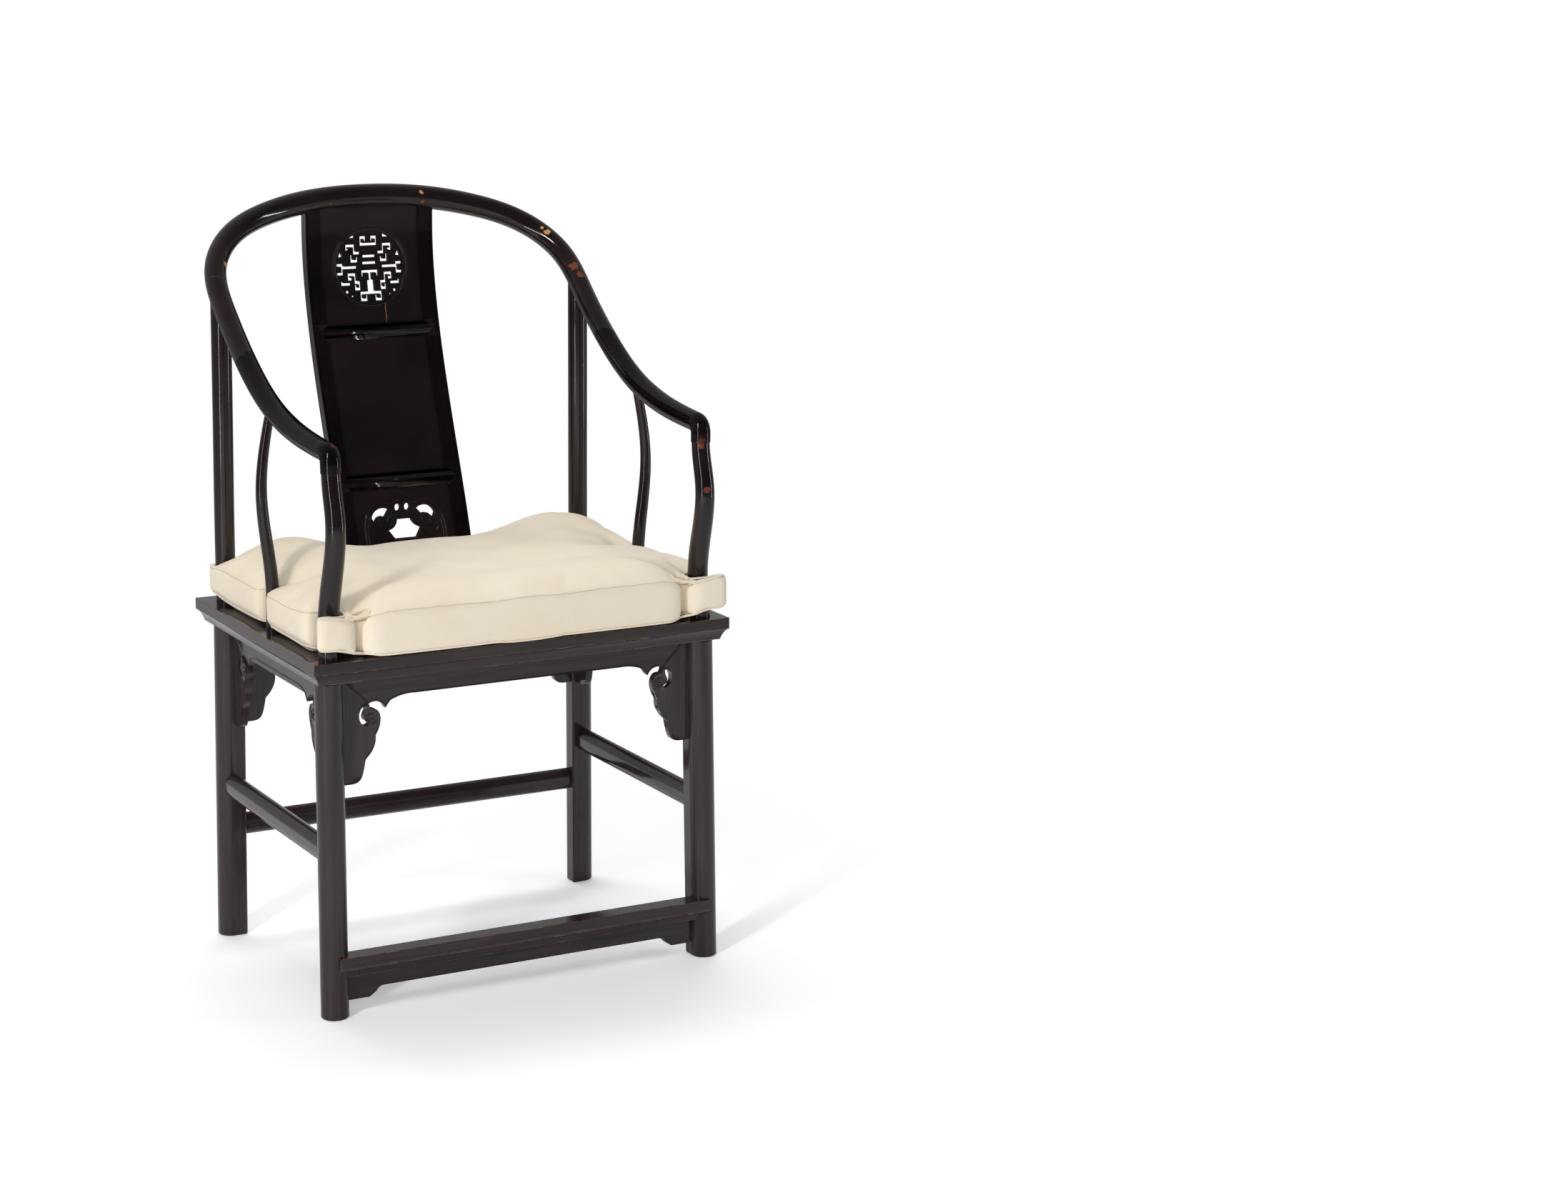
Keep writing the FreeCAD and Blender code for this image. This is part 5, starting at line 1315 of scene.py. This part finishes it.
for k, half_size in ((0, HALF_WIDTH), (1, FRONT)):
    way = np.sign(plan[:, 0]) if k == 0 else -1.0
    reach = plan[:, k] * way
    shift = (half_size - reach.max()) * soft_step(reach, STILL_INSIDE, reach.max())
    plan[:, k] += way * shift
    places[:, k] += way * shift * MM
aside, ahead, behind = np.abs(plan[:, 0]), -plan[:, 1], plan[:, 1]


def above(low, high):
    """0 below one height of the cushion and 1 above another, in millimetres."""
    return soft_step(places[:, 2], low * MM, high * MM)


# The seam dips where the ear is pinched off, and the crease runs down the band
pinch = np.exp(-((aside - NOTCH) / 24) ** 2) * soft_step(ahead, 175, 222)
places[:, 2] -= 7 * MM * pinch * above(505, 530)
crease = np.exp(-((aside - CREASE) / 4.5) ** 2) * soft_step(ahead, 180, 205)
places[:, 1] += 9 * MM * crease
places[:, 2] -= 3 * MM * crease * above(505, 530)
# The back lobes are the fullest
lobe = np.exp(-((aside - 205) / 62) ** 2 - ((behind - 118) / 58) ** 2)
places[:, 2] += 14 * MM * lobe * above(505, 535)
# The ears and the outer corners have drawn up, and the front hangs over the seat's edge
ear = soft_step(aside, 232, 256) * soft_step(ahead, 203, 211)
places[:, 2] += 10 * MM * ear * (1 - above(474, 508))
low_share = 1 - above(474, 500)
places[:, 2] += 11 * MM * soft_step(aside, 268, 288) * soft_step(behind, -185, -160) * low_share
places[:, 2] -= 5 * MM * soft_step(ahead, 214, 226) * (1 - soft_step(aside, 205, 226)) * low_share
# The cloth leans on the splat, and lies flat on the seat
at_splat = soft_step(behind, 120, 165) * (1 - soft_step(aside, 98, 125))
places[:, 1] += at_splat * SPLAT_LEAN * np.maximum(places[:, 2] - SEAT * MM, 0)
rests = ahead < SEAT_FRONT
places[rests, 2] = np.maximum(places[rests, 2], (SEAT + ROOM) * MM)
for x, y, radius in posts:
    clear = radius + POST_ROOM
    for side in (-1, 1):
        offset = places[:, :2] / MM - (side * x, y + seat_middle_y)
        away = np.linalg.norm(offset, axis=1)
        near = away < clear
        places[near, :2] += MM * offset[near] * (clear / away[near] - 1)[:, None]
write_places(cushion, places)
print("top of the cushion:", round(float(places[:, 2].max()) * 1000, 1), "mm")

# %% [markdown]
# Each edge of the band is one seam, turned and pressed: a narrow roll of cloth, with a thin
# darker line sunk beside it that is painted shadow under the roll. The seam is laid on the
# finished shape, by asking where the cushion's surface is nearest to the chalk line of the
# pattern.

# %% Welted seams
WELT, SHADOW_LINE, SHADOW_LINE_SUNK = 1.6 * MM, 0.75 * MM, 0.25 * MM
UPPER, FRONT_RISE, LOWER = 0.530, 0.009, 0.466


def seam_places(height, outwards, count=600):
    """Places on the cushion's rim, all the way round, near one height."""
    laps = np.vstack((pattern, pattern[:1]))
    gone = np.concatenate(([0], np.cumsum(np.linalg.norm(np.diff(laps, axis=0), axis=1))))
    even_steps = np.linspace(0, gone[-1], count, endpoint=False)
    line = np.stack([np.interp(even_steps, gone, laps[:, k]) for k in (0, 1)], axis=1)
    way = np.roll(line, -3, axis=0) - np.roll(line, 3, axis=0)
    way /= np.linalg.norm(way, axis=1)[:, None]
    places = []
    for (x, y), (along_x, along_y) in zip(line, way):
        guess = Vector((x + along_y * outwards, y - along_x * outwards, height(x, y)))
        places.append(cushion.closest_point_on_mesh(guess)[1])
    for turn in range(3):
        places = [(places[n - 1] + 2 * places[n] + places[(n + 1) % count]) / 4
                  for n in range(count)]
    return places


def welt(name, places, thick=WELT):
    """A closed thin roll along a line."""
    roll = swept(name, places, [1.0] * len(places), thick, 2 if thick == WELT else 0, True)
    bpy.ops.object.shade_smooth()
    return roll


def top_height(x, y):
    """Where the upper seam runs: highest along the front."""
    front = (-y - 0.15) / 0.11
    return UPPER + FRONT_RISE * min(1.0, max(0.0, front))


def low_height(x, y):
    """Where the lower seam runs."""
    return LOWER


rolls = []
for name, height, outwards, below in (("upper_seam", top_height, 0.012, -1.9),
                                      ("lower_seam", low_height, 0.010, 1.9)):
    line = seam_places(height, outwards)
    rolls.append(welt(name, line))
    # A thin dark roll sunk just beside each welt: painted shadow under the roll.
    stitches = []
    for place in line:
        on_cloth, normal = cushion.closest_point_on_mesh(place + Vector((0, 0, below * MM)))[1:3]
        stitches.append(on_cloth - normal * SHADOW_LINE_SUNK)
    rolls.append(welt(name + "_stitches", stitches, SHADOW_LINE))
print("seams:", len(rolls) // 2)

# %% [markdown]
# The cloth is plain undyed cotton, washed many times: a fine weave that only shows as a soft
# tooth, cream that is a little greyer in some places and a little warmer in others. The
# pattern of its colour is tied to the cushion itself, so it lifts off with it.

# %% Cushion cloth


def cotton(name):
    """Undyed cotton: a fine plain weave, uneven colour, and faint old marks."""
    material, tree, output = new_material(name)
    coordinates = wire(tree, "TexCoord", output="Object")
    mottle = between(tree, noise(tree, coordinates, 8.0, 4.0, roughness=0.6), 0.35, 0.68)
    stain = between(tree, noise(tree, coordinates, 3.2, 3.0), 0.52, 0.72, 0.0, 0.45)
    colour = tint(tree, mottle, (0.840, 0.735, 0.565), (0.885, 0.800, 0.650))
    colour = tint(tree, stain, colour, (0.790, 0.650, 0.460))
    weave = relief(tree, noise(tree, coordinates, 900.0, 2.0), 0.25, 0.0004)
    soft = relief(tree, noise(tree, coordinates, 24.0, 3.0), 0.25, 0.003, weave)
    surface = wire(tree, "BsdfPrincipled", {"Base Color": colour, "Roughness": 0.85,
                                            "Sheen Weight": 0.15, "Normal": soft})
    tree.links.new(surface, output.inputs["Surface"])
    return material


cushion_cloth = cotton("cushion_cloth")
# A darker cloth colour for that thin roll: painted shadow under the welt.
painted_seam_shadow, tree, output = new_material("cushion_stitch_line")
tree.links.new(wire(tree, "BsdfPrincipled", {"Base Color": (0.60, 0.475, 0.33), "Roughness": 0.9}),
               output.inputs["Surface"])
paint(cushion, cushion_cloth)
for roll in rolls:
    paint(roll, painted_seam_shadow if roll.name.endswith("stitches") else cushion_cloth)
joined_to(cushion, rolls)
hand_over(cushion, "seat_cushion", slot="cushion_cloth", body="cushion")
print("cushion with its seams:", len(cushion.data.polygons), "faces")
